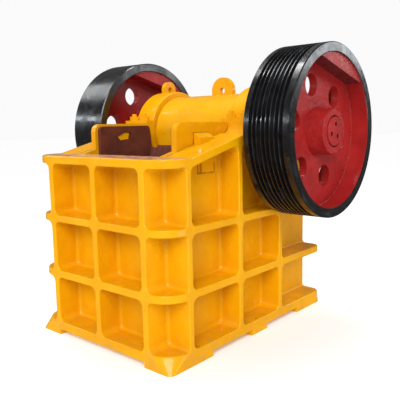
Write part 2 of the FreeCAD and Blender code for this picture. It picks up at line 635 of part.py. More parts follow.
def side_wall():
    """One side wall: wall, ribs, rising deck, cheek and bearing seat, with its bore."""
    rib_back = "side_rib_one + rib_thick / 2"
    two_front, two_back = "side_rib_two - rib_thick / 2", "side_rib_two + rib_thick / 2"
    three_front, three_back = "side_rib_three - rib_thick / 2", "side_rib_three + rib_thick / 2"
    deck = [("frame_rear", "deck_top"), ("seat_rear + seat_run", "seat_deck"),
            ("ramp_end", "seat_deck"), ("front_wall_in", "deck_top")]
    wall = prism("Wall", "YZ",
                 [("front_wall_in", "foot_tall"), ("frame_rear", "foot_tall")] + deck,
                 "wall_in", "side_wall_out")
    rear = size("frame_rear")
    outer = size("frame_half_width")

    def rear_corner(middle, way):
        return abs(way.z) > 0.999 and middle.y > rear - NEAR and middle.x > outer - NEAR

    slab = prism("SideSlab", "YZ",
                 [("side_start", "foot_tall"), ("frame_rear", "foot_tall")] + deck
                 + [("side_start", "deck_top")],
                 "side_wall_out", "frame_half_width", rear_corner, "rear_round")
    bays = []
    columns = [(rib_back, two_front), (two_back, three_front),
               (three_back, "frame_rear + bay_past")]
    for row, (low, high) in enumerate(BAY_ROWS):
        for column, (start, end) in enumerate(columns):
            near_top, far_top = high, high
            if row == 2:
                near_top = [deck_line(start), deck_line(two_back), "seat_deck"][column]
                far_top = [deck_line(end), "seat_deck", "seat_deck"][column]
                near_top, far_top = f"{near_top} - deck_thick", f"{far_top} - deck_thick"
            corners = [(start, low), (end, low), (end, far_top), (start, near_top)]
            if row == 2 and column == 2:
                corners = [(start, low), (end, low),
                           (end, "deck_top - rear_bay_drop"),
                           ("seat_rear + seat_run - deck_thick / 2", far_top), (start, near_top)]
            bays.append(side_bay(f"SideBay{row}{column}", corners))
    ribs = round_side(fuse("SideCore", [wall, cut("SideRibs", slab, bays)]))
    cheek_start, cheek_head = size("cheek_front"), size("cheek_top")

    def cheek_corner(middle, way):
        return abs(way.x) > 0.999 and middle.y < cheek_start + NEAR and middle.z > cheek_head - NEAR

    cheek = prism("Cheek", "YZ",
                  rectangle("cheek_front", "seat_front + past", "deck_under", "cheek_top"),
                  "wall_in", "cheek_out", cheek_corner, "cheek_round")
    seat = box("BearingSeat", ("wall_in", "seat_out"), ("seat_front", "seat_rear"),
               ("seat_deck - deck_thick", "split_z"))
    sweep = prism("SeatFillet", "YZ",
                  rectangle("seat_front - seat_fillet", "seat_front", "seat_deck",
                            "seat_deck + seat_fillet"), "wall_in", "seat_out")
    hollow = rod("SeatFilletHollow", "seat_fillet", "wall_in - past", "seat_out + past",
                 "seat_front - seat_fillet", "seat_deck + seat_fillet")
    fillet = cut("SeatFilletCut", sweep, [hollow])
    housing = rod("Housing", "housing_r", "wall_in", "housing_out", "shaft_y", "shaft_z")
    boss_middle = "key_y - boss_half / 2"
    boss = prism("CheekBoss", "XZ",
                 [("cheek_out - past", "deck_top - boss_sunk"),
                  ("cheek_out + boss_out", "deck_top - boss_sunk"),
                  ("cheek_out + boss_out", "cheek_top - boss_outer_drop"),
                  ("cheek_out - past", "cheek_top - boss_inner_drop")],
                 f"{boss_middle} - boss_half", f"{boss_middle} + boss_half")
    pad = box("BossPad", ("side_wall_out", "side_wall_out + pad_out"),
              (f"{boss_middle} - boss_half - pad_front", f"{boss_middle} + boss_half + pad_rear"),
              ("deck_top - pad_tall", "deck_top"))
    solid = fuse("SideSolid", [ribs, cheek, seat, fillet, housing, boss, pad] + side_feet())
    above = box("AboveSplit", ("wall_in - past", "seat_out + past"),
                ("seat_front", "seat_rear + past"), ("split_z", "split_z + housing_r"))
    bore = rod("BearingBore", "bearing_r", "wall_in - past", "housing_out + past", "shaft_y",
               "shaft_z")
    recess = rod("CoverRecess", "cover_r + cover_gap", "housing_out",
                 "max(frame_half_width; seat_out) + past", "shaft_y", "shaft_z")
    holes = [post(f"AnchorHole{way + 1}", "anchor_hole_r", "-past", "base_top + past",
                  "anchor_x", f"{way} * anchor_y") for way in (-1, 0, 1)]
    slot = prism("WallKeySlot", "YZ", key_outline("0"), "wall_in - past", "cheek_out + past")
    return cut("SideWallRight", solid, [above, bore, recess, slot] + holes)


def round_side(core):
    """The side wall's core with the outer edges of its ribs rounded off."""
    outer, low = size("frame_half_width"), size("foot_tall")
    start, rear, radius = size("side_start"), size("frame_rear"), size("rear_round")

    def outside(p):
        if p.y < rear - radius + NEAR:
            return abs(p.x - outer) < NEAR
        from_centre = math.hypot(p.x - (outer - radius), p.y - (rear - radius))
        return abs(from_centre - radius) < NEAR

    def outer_edge(edge):
        points = edge_points(edge)
        if not all(outside(p) and p.z > low + NEAR for p in points):
            return False
        y = points[0].y
        return not (upright(points) and (y > rear - radius - NEAR or y < start + NEAR))

    return rounded_solid("SideEdges", core, outer_edge, "edge_round")


def side_feet():
    spans = [("side_start", "front_foot_end"), ("mid_foot_start", "mid_foot_end"),
             ("rear_foot_start", "rear_foot_end")]
    return [box(f"Foot{index}", ("foot_in", "frame_half_width"), span, ("0", "foot_tall"))
            for index, span in enumerate(spans)]


def rear_wall():
    """The rear wall between the side walls, with three columns of bays on its outside."""
    slab = box("RearSlab", ("-wall_in", "wall_in"), ("rear_wall_front", "frame_rear"),
               ("rear_wall_under", "deck_top"))
    bays = []
    rows = [("rear_wall_under + deck_thick", "rib_high_under"), ("rib_high_top", "deck_under")]
    for row, (low, high) in enumerate(rows):
        for column in range(3):
            left = f"-wall_in + rib_thick + {column} * (2 * wall_in - rib_thick) / 3"
            right = f"{left} + (2 * wall_in - rib_thick) / 3 - rib_thick"
            bays.append(prism(f"RearBay{row}{column}", "XZ", rectangle(left, right, low, high),
                              "rear_wall_front + rear_wall_thick", "frame_rear + past",
                              along(Vector(0, 1, 0)), "bay_round"))
    return node(cut("RearWall", slab, bays), "rear_wall")


# ----------------------------------------------------------------------------------------
# Bearings
# ----------------------------------------------------------------------------------------
def bearing_cap():
    """The half-round cap over a main bearing, with ears and a lifting eye."""
    plain = rod("CapPlain", "housing_r", "wall_in", "housing_out", "shaft_y", "shaft_z")
    shell = rounded_solid("CapShell", plain, whole_circle, "edge_round")
    ears = box("CapEars", ("wall_in", "seat_out"), ("seat_front", "seat_rear"),
               ("split_z", "split_z + ear_thick"))
    eye_centre = "shaft_z + housing_r + eye_hole_r"
    eye = rod("CapEye", "eye_r", "eye_x - eye_thick / 2", "eye_x + eye_thick / 2", "shaft_y",
              eye_centre)
    neck = box("CapEyeNeck", ("eye_x - eye_thick / 2", "eye_x + eye_thick / 2"),
               ("shaft_y - eye_r", "shaft_y + eye_r"),
               ("shaft_z + housing_r - eye_sunk", eye_centre))
    below = box("CapBelow", ("wall_in - past", "seat_out + past"),
                ("seat_front - past", "seat_rear + past"),
                ("shaft_z - housing_r - past", "split_z"))
    bore = rod("CapBore", "bearing_r", "wall_in - past", "housing_out + past", "shaft_y", "shaft_z")
    recess = rod("CapRecess", "cover_r + cover_gap", "housing_out", "seat_out + past", "shaft_y",
                 "shaft_z")
    hole = rod("CapEyeHole", "eye_hole_r", "eye_x - eye_thick", "eye_x + eye_thick", "shaft_y",
               eye_centre)
    studs = [post(f"CapStudHole{index}", "cap_stud_r", "split_z - past",
                  "split_z + ear_thick + past", x, y)
             for index, (x, y) in enumerate(cap_bolt_places())]
    return cut("BearingCapRight", fuse("CapSolid", [shell, ears, eye, neck]),
               [below, bore, recess, hole] + studs)


def cap_bolt_places():
    return [(x, f"shaft_y {way} cap_bolt_y") for x in ("cap_bolt_in", "cap_bolt_out")
            for way in ("-", "+")]


def cap_bolts():
    """Four studs with hexagon nuts; the studs stop at the split."""
    nuts = []
    for index, (x, y) in enumerate(cap_bolt_places()):
        nut = doc.addObject("Part::Prism", f"CapNut{index}")
        nut.Polygon = 6
        bind(nut, Circumradius="cap_nut_flats / sqrt(3)", Height="cap_nut_tall")
        place(nut, x, y, "split_z + ear_thick")
        stud = post(f"CapStud{index}", "cap_stud_r", "split_z",
                    "split_z + ear_thick + cap_nut_tall + cap_stud_out", x, y)
        nuts.append(fuse(f"CapBolt{index}", [nut, stud]))
    return fuse("CapBoltsRight", nuts)


def ring(name, outer, inner, start, end, y="shaft_y", z="shaft_z"):
    """A plain ring along X."""
    solid = rod(f"{name}Outer", outer, start, end, y, z)
    hole = rod(f"{name}Inner", inner, f"({start}) - past", f"({end}) + past", y, z)
    return cut(name, solid, [hole])


def both_sides(thing, label):
    """Right and left nodes of a piece that is modelled on the right."""
    node(thing, f"{label}_right")
    node(mirrored(f"{thing.Name}Left", thing), f"{label}_left")


# ----------------------------------------------------------------------------------------
# Rotor
# ----------------------------------------------------------------------------------------
def turned(name, profile):
    """A body turned round the shaft axis from (X, radius) points."""
    body = doc.addObject("PartDesign::Body", name)
    drawing = sketch_on(body, "XY", f"{name}Profile")
    draw_polygon(drawing, profile)
    solid = body.newObject("PartDesign::Revolution", f"{name}Turned")
    solid.Profile = drawing
    solid.ReferenceAxis = (drawing, ["H_Axis"])
    solid.Angle = 360
    place(body, "0", "shaft_y", "shaft_z")
    return body


def eccentric_shaft():
    """The shaft: main journals on the shaft axis and a thicker journal off it."""
    ends = rod("ShaftEnds", "journal_r", "-hub_out + disc_sunk", "hub_out - disc_sunk",
               "shaft_y", "shaft_z")
    middle = rod("ShaftMiddle", "eccentric_r", "-bearing_in + journal_step",
                 "bearing_in - journal_step", "axis_y", "axis_z")
    spans = [("housing_out + cover_thick + collar_gap", "hub_in"),
             ("-hub_in", "-housing_out - cover_thick - collar_gap")]
    collars = [rod(f"ShaftCollar{i}", "journal_r + collar_tall", start, end, "shaft_y", "shaft_z")
               for i, (start, end) in enumerate(spans)]
    return node(fuse("EccentricShaft", [ends, middle] + collars), "eccentric_shaft")


def rim_end(x, inward):
    """Chamfered corners of a rim's section at one of its faces, from the inside out."""
    return [(f"{x} {inward} turned_chamfer", "rim_r"), (x, "rim_r + turned_chamfer"),
            (x, "wheel_r - turned_chamfer"), (f"{x} {inward} turned_chamfer", "wheel_r")]


def sheave_profile():
    """Half section of the grooved rim."""
    points = rim_end("wheel_in", "+")
    for index in range(int(size("groove_count"))):
        centre = f"groove_first + {index} * groove_pitch"
        points += [(f"{centre} - groove_top / 2", "wheel_r"),
                   (f"{centre} - groove_root / 2", "wheel_r - groove_deep"),
                   (f"{centre} + groove_root / 2", "wheel_r - groove_deep"),
                   (f"{centre} + groove_top / 2", "wheel_r")]
    return points + rim_end("wheel_out", "-")[::-1]


def hub_profile(side):
    """Half section of a hub: it tapers from the web to both ends and is recessed outside."""
    way = "" if side > 0 else "-"
    recess_r = "disc_r + disc_gap"
    points = [("hub_in", "0"), ("hub_in", "hub_r - turned_chamfer"),
              ("hub_in + turned_chamfer", "hub_r"), ("web_in", "hub_root_r"),
              ("web_out", "hub_root_r"), ("hub_out - turned_chamfer", "hub_r"),
              ("hub_out", "hub_r - turned_chamfer"), ("hub_out", recess_r),
              ("hub_out - disc_sunk", recess_r), ("hub_out - disc_sunk", "0")]
    return [(f"{way}({x})", r) for x, r in points]


def wheel_web(name, side):
    """Hub and web with a ring of holes and the counterweight segments on both faces."""
    low, high = ("web_in", "web_out") if side > 0 else ("-web_out", "-web_in")
    hub_low, hub_high = ("hub_in", "hub_out") if side > 0 else ("-hub_out", "-hub_in")
    body = doc.addObject("PartDesign::Body", f"{name}Disc")
    drawing = sketch_on(body, "YZ", f"{name}DiscOutline", low)
    draw_circle(drawing, "0", "0", "rim_r")
    pad = body.newObject("PartDesign::Pad", f"{name}DiscPad")
    pad.Profile = drawing
    bind(pad, Length=f"({high}) - ({low})")
    holes = sketch_on(body, "YZ", f"{name}HoleOutline", high)
    turn = "web_hole_first"
    draw_circle(holes, f"web_hole_ring * sin({turn})", f"web_hole_ring * cos({turn})",
                "web_hole_r")
    pocket = body.newObject("PartDesign::Pocket", f"{name}Hole")
    pocket.Profile = holes
    bind(pocket, Length=f"({high}) - ({low}) + past")
    doc.recompute()
    pattern = body.newObject("PartDesign::PolarPattern", f"{name}Holes")
    pattern.Originals = [pocket]
    pattern.Axis = (holes, ["N_Axis"])
    pattern.Angle = 360
    pattern.Occurrences = 6
    body.Tip = pattern
    place(body, "0", "shaft_y", "shaft_z")
    hub = turned(f"{name}Hub", hub_profile(side))
    bore = rod(f"{name}Bore", "journal_r", f"{hub_low} - past", f"{hub_high} + past", "shaft_y",
               "shaft_z")
    return cut(name, fuse(f"{name}Solid", [body, hub, counterweight(name, side)]), [bore])


def counterweight(name, side):
    """The segment inside a rim beyond a leaning chord."""
    weight_low, weight_high = "wheel_in + weight_inset", "wheel_out - weight_inset"
    if side < 0:
        weight_low, weight_high = f"-({weight_high})", f"-({weight_low})"
    segment = rod(f"{name}Segment", "rim_r", weight_low, weight_high, "shaft_y", "shaft_z")
    slab = box(f"{name}Chord", (weight_low, weight_high), ("-rim_r", "rim_r"),
               ("weight_chord", "2 * rim_r"))
    lean = Rotation(Vector(1, 0, 0), -size("weight_angle"))
    centre = Vector(0, size("shaft_y"), size("shaft_z"))
    slab.setExpression(".Placement.Base.x", qualified(weight_low))
    turned_base = centre + lean.multVec(Vector(0, -size("rim_r"), size("weight_chord")))
    slab.setExpression(".Placement.Base.y", None)
    slab.setExpression(".Placement.Base.z", None)
    slab.Placement = Placement(Vector(number(weight_low), turned_base.y, turned_base.z), lean)
    weight = doc.addObject("Part::Common", f"{name}Weight")
    weight.Base = segment
    weight.Tool = slab
    return weight


def hub_disc():
    """The disc that holds a wheel on its shaft end."""
    start = "hub_out - disc_sunk"
    return rod("HubDiscRight", "disc_r", start, f"{start} + disc_thick", "shaft_y", "shaft_z")


# ----------------------------------------------------------------------------------------
# Jaws
# ----------------------------------------------------------------------------------------
def toothed_plan(back, face):
    """Plan outline of a jaw plate: a flat back and trapezoid teeth on its face.

    A tooth rises, runs flat and falls over three tenths of the pitch each.
    """
    count = int(size("tooth_count"))
    pitch = "(2 * jaw_half / tooth_count)"
    points = [("jaw_half", back), ("-jaw_half", back)]
    way = "-" if number(face) < number(back) else "+"
    valley = f"({face}) {'+' if way == '-' else '-'} tooth_tall"
    for index in range(count):
        left = f"-jaw_half + {index} * {pitch}"
        points += [(left, valley), (f"{left} + 0.3 * {pitch}", face),
                   (f"{left} + 0.6 * {pitch}", face), (f"{left} + 0.9 * {pitch}", valley)]
    return points + [("jaw_half", valley)]


def fixed_jaw_plate():
    plan = toothed_plan("fixed_jaw_back", "fixed_jaw_back + jaw_thick")
    return node(prism("FixedJaw", "XY", plan, "fixed_jaw_foot", "fixed_jaw_top"),
                "fixed_jaw_plate")


def leaning(y_along, z_along):
    """A point given behind the moving jaw's face and down along it."""
    return (f"moving_jaw_y + ({y_along}) * jaw_cos - ({z_along}) * jaw_sin",
            f"moving_jaw_z - ({y_along}) * jaw_sin - ({z_along}) * jaw_cos")


def movable_jaw_plate():
    plan = toothed_plan("jaw_thick", "0")
    body = prism("MovingJaw", "XY", plan, "-moving_jaw_long", "0")
    lean = Rotation(Vector(1, 0, 0), -size("moving_jaw_tilt"))
    body.Placement = Placement(Vector(0, 0, 0), lean)
    place(body, "0", "moving_jaw_y", "moving_jaw_z")
    return node(body, "movable_jaw_plate")


def movable_jaw_clamp():
    """The bar under the lip that holds the top of the moving jaw plate."""
    points = [leaning("clamp_set", "0"), leaning("jaw_thick", "0"),
              leaning("lip_back", "-lip_above"),
              leaning("clamp_top_set", "-lip_above + clamp_low")]
    return node(prism("JawClamp", "YZ", points, "-jaw_half + clamp_short",
                      "jaw_half - clamp_short"),
                "movable_jaw_clamp")


# Corners of a key's slot round its middle, in order; the third is the upper rear one.
KEY_CORNERS = [(-57, -1), (2, 23), (54, 19), (31, -17), (-34, -23)]


def key_outline(short):
    """Section of a key's slot; its upper rear corner is cut back by the given length."""
    corners = [(f"key_y + ({y})", f"key_z + ({z})") for y, z in KEY_CORNERS]
    y, z = corners[2]
    corners[2] = (f"{y} - ({short})", z)
    return corners


def cheek_plate():
    """The wear plate on the inside of a side wall, with a key's slot near its top."""
    front, step = "front_wall_in + liner_gap", "deck_top - liner_step"
    outline = [(front, "liner_foot"), (front, step), ("liner_front", step),
               ("liner_front", "liner_top"), ("moving_jaw_y + liner_over", "liner_top"),
               ("moving_jaw_y + liner_wide", "deck_top"),
               ("moving_jaw_y", "deck_top - liner_taper"), ("liner_foot_y", "liner_foot")]
    head = size("liner_top")

    def top_corner(middle, way):
        return abs(way.x) > 0.999 and middle.z > head - NEAR

    plate = prism("Liner", "YZ", outline, "liner_in", "wall_in", top_corner, "liner_round")
    slot = prism("LinerKeySlot", "YZ", key_outline("0"), "liner_in - past", "wall_in + past")
    return cut("LinerRight", plate, [slot])


def cheek_key():
    """The flat key that sits in the slot through cheek plate and wall."""
    return prism("CheekKeyRight", "YZ", key_outline("key_gap"), "liner_in + key_inset",
                 "cheek_out")


# ----------------------------------------------------------------------------------------
# Pitman
# ----------------------------------------------------------------------------------------
# Corners of the toggle beam, the ribs and the roots of the rod ears, as distances behind
# the moving jaw's face and down along it, and corners of a rod ear round its pin.
TOGGLE_SEAT = [("230", "640"), ("255", "672"), ("215", "735")]
RIB_CORNERS = [("225", "700"), ("165", "560")]
EAR_ROOTS = [("150", "690"), ("150", "moving_jaw_long + 30")]
EAR_CORNERS = [(4, 28), (26, 12), (26, -18), (8, -28), (-20, -28)]


def pitman():
    """The moving jaw casting: barrel, jaw seat, ribs, toggle beam and lifting lug."""
    plain = rod("BarrelPlain", "barrel_r", "-barrel_half", "barrel_half", "axis_y", "axis_z")
    barrel = rounded_solid("Barrel", plain, whole_circle, "edge_round")
    seat = "jaw_thick"
    back = "jaw_thick + pitman_plate"
    jaw_end = "moving_jaw_long"
    foot = "moving_jaw_long + pitman_foot"
    front = prism("JawSeatPlate", "YZ",
                  [("axis_y - 0.985 * barrel_r", "axis_z + 0.17 * barrel_r"),
                   leaning("lip_back", "-lip_above"), leaning(seat, "0"),
                   leaning(seat, jaw_end), leaning("jaw_lip", jaw_end),
                   leaning("jaw_lip", foot), leaning(back, foot), leaning(back, "0"),
                   ("axis_y", "axis_z")],
                  "-pitman_half", "pitman_half")
    beam = prism("ToggleBeam", "YZ",
                 [leaning(back, "beam_from")] + [leaning(*spot) for spot in TOGGLE_SEAT]
                 + [leaning("beam_foot", foot), leaning(back, foot)],
                 "-pitman_half", "pitman_half")
    bores = [rod("PitmanBearingBore", "pitman_bearing_r", "-barrel_half - past",
                 "barrel_half + past", "axis_y", "axis_z"),
             rod_along_y("LugHole", "lug_hole_r", "lug_y - lug_thick", "lug_y + lug_thick", "0",
                         "shaft_z + lug_hole_up"),
             rod("RodPinBore", "rod_pin_r", "-rod_x - pin_half - past",
                 "rod_x + pin_half + past", "rod_pin_y", "rod_pin_z")]
    solid = fuse("PitmanSolid", [barrel, front, beam] + pitman_ribs() + lifting_lug()
                 + rod_ears())
    return node(cut("Pitman", solid, bores), "pitman")


def pitman_ribs():
    """Four upright ribs behind the jaw seat."""
    back = "jaw_thick + pitman_plate"
    outline = [leaning(back, "0"), leaning(back, "rib_from")]
    outline += [leaning(*spot) for spot in RIB_CORNERS]
    outline += [("axis_y + 0.5 * barrel_r", "axis_z - 0.8 * barrel_r"), ("axis_y", "axis_z")]
    middles = ["-pitman_half + pitman_rib / 2", "-pitman_half / 3", "pitman_half / 3",
               "pitman_half - pitman_rib / 2"]
    return [prism(f"PitmanRib{index}", "YZ", outline, f"{middle} - pitman_rib / 2",
                  f"{middle} + pitman_rib / 2") for index, middle in enumerate(middles)]


def lifting_lug():
    """The lug on the barrel and its neck."""
    front, rear = "lug_y - lug_thick / 2", "lug_y + lug_thick / 2"
    centre = "shaft_z + lug_hole_up"
    head = rod_along_y("Lug", "lug_half", front, rear, "0", centre)
    neck = box("LugNeck", ("-lug_half", "lug_half"), (front, rear),
               ("axis_z + lug_foot_up", centre))
    return [head, neck]


def rod_ears():
    """Two ears for each tension rod's pin."""
    outline = [leaning(*EAR_ROOTS[0])]
    outline += [(f"rod_pin_y + ({y})", f"rod_pin_z + ({z})") for y, z in EAR_CORNERS]
    outline.append(leaning(*EAR_ROOTS[1]))
    middles = [f"{side} * rod_x + {ear} * ear_apart" for side in (-1, 1) for ear in (-1, 1)]
    return [prism(f"RodEar{index}", "YZ", outline, f"{middle} - ear_half",
                  f"{middle} + ear_half") for index, middle in enumerate(middles)]


def tension_rod_pins():
    pins = [rod(f"RodPin{side + 1}", "rod_pin_r", f"{side} * rod_x - pin_half",
                f"{side} * rod_x + pin_half", "rod_pin_y", "rod_pin_z") for side in (-1, 1)]
    return node(fuse("RodPins", pins), "tension_rod_pins")


# ----------------------------------------------------------------------------------------
# Toggle plate, toggle block, shims and tension rods
# ----------------------------------------------------------------------------------------
def toggle_point(along_it, across):
    """A point along the toggle plate from its rear end, and across it."""
    return (f"toggle_rear_y - ({along_it}) * toggle_cos - ({across}) * toggle_sin",
            f"toggle_rear_z - ({along_it}) * toggle_sin + ({across}) * toggle_cos")


def toggle_plate():
    half = "toggle_thick / 2"
    points = [toggle_point("toggle_taper", half), toggle_point("0", "toggle_thick / 5"),
              toggle_point("0", "-toggle_thick / 5"), toggle_point("toggle_taper", f"-{half}"),
              toggle_point("toggle_long - toggle_taper", f"-{half}"),
              toggle_point("toggle_long", "-toggle_thick / 5"),
              toggle_point("toggle_long", "toggle_thick / 5"),
              toggle_point("toggle_long - toggle_taper", half)]
    return node(prism("Toggle", "YZ", points, "-toggle_half", "toggle_half"), "toggle_plate")


def toggle_block():
    """The rear toggle block; its front face is square to the toggle plate."""
    lift = "block_tall / 2"
    points = [toggle_point("0", lift), toggle_point("0", f"-{lift}"),
              ("rear_wall_front - shim_thick", f"toggle_rear_z - {lift}"),
              ("rear_wall_front - shim_thick", f"toggle_rear_z + {lift}")]
    return node(prism("ToggleBlock", "YZ", points, "-toggle_half - block_wider",
                      "toggle_half + block_wider"), "toggle_block")


def adjusting_shims():
    low = "toggle_rear_z - block_tall / 2 - shim_below"
    high = "toggle_rear_z + block_tall / 2 + shim_above"
    return node(box("Shims", ("-toggle_half - shim_wider", "toggle_half + shim_wider"),
                    ("rear_wall_front - shim_thick", "rear_wall_front"), (low, high)),
                "adjusting_shims")


def spring_bracket():
    """The bar under the rear wall that the tension rods pass through."""
    plate = box("Bracket", ("-bracket_half", "bracket_half"),
                ("bracket_y", "bracket_y + bracket_thick"),
                ("rod_eye_z - bracket_below", "rear_wall_under"))
    holes = [rod_along_y(f"BracketHole{side + 1}", "rod_r + bracket_gap", "bracket_y - past",
                         "bracket_y + bracket_thick + past", f"{side} * rod_x", "rod_eye_z")
             for side in (-1, 1)]
    return node(cut("SpringBracket", plate, holes), "spring_bracket")


def tension_rod():
    """A rod with an eye round the pitman's pin and a threaded rear end."""
    shank = rod_along_y("RodShank", "rod_r", "rod_eye_y + rod_eye_r + shank_start",
                        "rod_end_y", "rod_x", "rod_eye_z")
    eye = rod("RodEye", "rod_eye_r + rod_eye_wall", "rod_x - rod_eye_half",
              "rod_x + rod_eye_half", "rod_eye_y", "rod_eye_z")
    hole = rod("RodEyeHole", "rod_eye_r", "rod_x - rod_eye_half - past",
               "rod_x + rod_eye_half + past", "rod_eye_y", "rod_eye_z")
    return cut("TensionRodRight", fuse("RodSolid", [shank, eye]), [hole])


def rod_spring():
    """The envelope of the coil spring between bracket and rear washer."""
    start, end = "spring_start + washer_thick", "spring_start + washer_thick + spring_long"
    outer = rod_along_y("SpringOuter", "spring_r", start, end, "rod_x", "rod_eye_z")
    inner = rod_along_y("SpringInner", "spring_r - spring_wall", f"{start} - past",
                        f"{end} + past", "rod_x", "rod_eye_z")
    return cut("RodSpringRight", outer, [inner])


def rod_nut():
    """Front and rear spring washers and the nut behind them, as two solids."""
    rear_start = "spring_start + washer_thick + spring_long"
    solids = []
    for name, start in (("Front", "spring_start"), ("Rear", rear_start)):
        solids.append(rod_along_y(f"{name}Washer", "spring_r + washer_wider", start,
                                  f"{start} + washer_thick", "rod_x", "rod_eye_z"))
    nut = doc.addObject("Part::Prism", "RodNut")
    nut.Polygon = 6
    bind(nut, Circumradius="rod_nut_r", Height="rod_nut_tall")
    nut.Placement = Placement(Vector(0, 0, 0), Rotation(Vector(1, 0, 0), -90))
    place(nut, "rod_x", f"{rear_start} + washer_thick", "rod_eye_z")
    hole = rod_along_y("NutHole", "rod_r", "spring_start - past",
                       "rod_end_y + rod_nut_past", "rod_x", "rod_eye_z")
    return cut("RodNutsRight", fuse("NutSolid", solids + [nut]), [hole])


# ----------------------------------------------------------------------------------------
# Assembly
# ----------------------------------------------------------------------------------------
front_wall()
both_sides(side_wall(), "side_wall")
rear_wall()
both_sides(bearing_cap(), "bearing_cap")
both_sides(cap_bolts(), "cap_bolts")
both_sides(ring("MainBearingRight", "bearing_r", "journal_r + film", "bearing_in", "bearing_out"),
           "main_bearing")
both_sides(ring("BearingCoverRight", "cover_r", "journal_r + cover_gap", "housing_out",
                "housing_out + cover_thick"), "bearing_cover")
eccentric_shaft()
node(turned("SheaveRim", sheave_profile()), "sheave_rim")
node(wheel_web("SheaveWeb", 1), "sheave_web")
node(turned("FlywheelRim", rim_end("-wheel_out", "+") + rim_end("-wheel_in", "-")[::-1]),
     "flywheel_rim")
node(wheel_web("FlywheelWeb", -1), "flywheel_web")
both_sides(hub_disc(), "hub_disc")
fixed_jaw_plate()
movable_jaw_plate()
movable_jaw_clamp()
both_sides(cheek_plate(), "cheek_plate")
both_sides(cheek_key(), "cheek_key")
pitman()
both_sides(ring("PitmanBearingRight", "pitman_bearing_r", "eccentric_r + film",
                "pitman_bearing_in", "pitman_bearing_out", "axis_y", "axis_z"),
           "pitman_bearing")
tension_rod_pins()
toggle_plate()
toggle_block()
adjusting_shims()
spring_bracket()
both_sides(tension_rod(), "tension_rod")
both_sides(rod_spring(), "rod_spring")
both_sides(rod_nut(), "rod_nuts")

doc.recompute()
for thing in doc.Objects:
    if "Invalid" in thing.State or "Error" in thing.State:
        raise RuntimeError(f"{thing.Name} failed: {thing.State}")
for thing in nodes:
    if thing.Shape.isNull() or not thing.Shape.isValid() or not thing.Shape.Solids:
        raise RuntimeError(f"{thing.Label} has no valid solid")

os.makedirs("parts", exist_ok=True)
for thing in nodes:
    thing.Shape.exportStep(f"parts/{thing.Label}.step")
    print(thing.Label, len(thing.Shape.Solids), round(thing.Shape.Volume / 1e6, 3), "litres")
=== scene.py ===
"""Look of the jaw crusher: materials, fine pieces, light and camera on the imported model."""

import json
import math

import bmesh
import bpy
from mathutils import Matrix, Vector


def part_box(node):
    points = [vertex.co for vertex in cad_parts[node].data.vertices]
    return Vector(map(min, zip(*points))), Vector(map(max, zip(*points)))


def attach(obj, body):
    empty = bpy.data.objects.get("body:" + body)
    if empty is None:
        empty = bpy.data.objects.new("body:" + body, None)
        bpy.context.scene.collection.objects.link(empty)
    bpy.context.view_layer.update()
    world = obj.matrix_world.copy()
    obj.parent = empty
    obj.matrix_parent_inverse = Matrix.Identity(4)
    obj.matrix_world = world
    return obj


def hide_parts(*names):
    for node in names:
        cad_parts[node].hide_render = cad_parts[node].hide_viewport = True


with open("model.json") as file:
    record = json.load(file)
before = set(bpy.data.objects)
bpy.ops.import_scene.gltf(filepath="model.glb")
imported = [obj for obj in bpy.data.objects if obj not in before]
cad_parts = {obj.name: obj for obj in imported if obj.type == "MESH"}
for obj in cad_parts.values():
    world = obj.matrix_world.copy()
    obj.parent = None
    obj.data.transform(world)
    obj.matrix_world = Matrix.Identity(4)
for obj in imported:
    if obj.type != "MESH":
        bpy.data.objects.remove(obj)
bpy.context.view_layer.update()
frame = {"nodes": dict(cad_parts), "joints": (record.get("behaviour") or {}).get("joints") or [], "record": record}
nodes = frame["nodes"]
joints = {joint["name"]: joint for joint in frame["joints"]}

# Places on the CAD model that the looks refer to, in metres. The two sides mirror each other,
# so a face across X is given by its distance from the middle.
SHAFT = Vector(joints["rotor_spin"]["pos_m"])
WHEEL_RADIUS = 0.475                    # outer radius of both wheels
WEB_FACE = 0.740                        # outer faces of the wheels' webs
RED_INSIDE = 0.4214                     # radius inside which a rim is red
SEAM_FROM, SEAM_TO = 0.4188, 0.4206     # radii of the seam between web and rim
WEIGHT_FLAT = 0.345                     # the counterweight's flat side, from the shaft's axis
WEIGHT_TURN = math.radians(15)          # direction of that side, from straight up
DECK_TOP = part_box("front_wall")[1].z    # top of the front wall and of the level deck
CHEEK_FACE = 0.342                      # outer faces of the cheeks above the deck
PAD_FACE = 0.410                        # outer faces of the pads under the deck
PAD_FRONT, PAD_REAR = -0.348, -0.231    # the pads' edges along Y
PAD_FOOT, PAD_HEAD = 0.936, 0.990       # the pads' edges along Z
BOSS_GAP_SHADE = (0.3484, -0.2157, 1.1460)   # a dark spot of painted shade in the gap beside the boss on the right cheek
PLUG = Vector((0.497, -0.443, 1.054))   # the plug on the right deck
SPRING_LOW, SPRING_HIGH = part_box("rod_spring_right")
ROD_AXIS = (SPRING_LOW + SPRING_HIGH) / 2    # a point on the right tension rod's axis


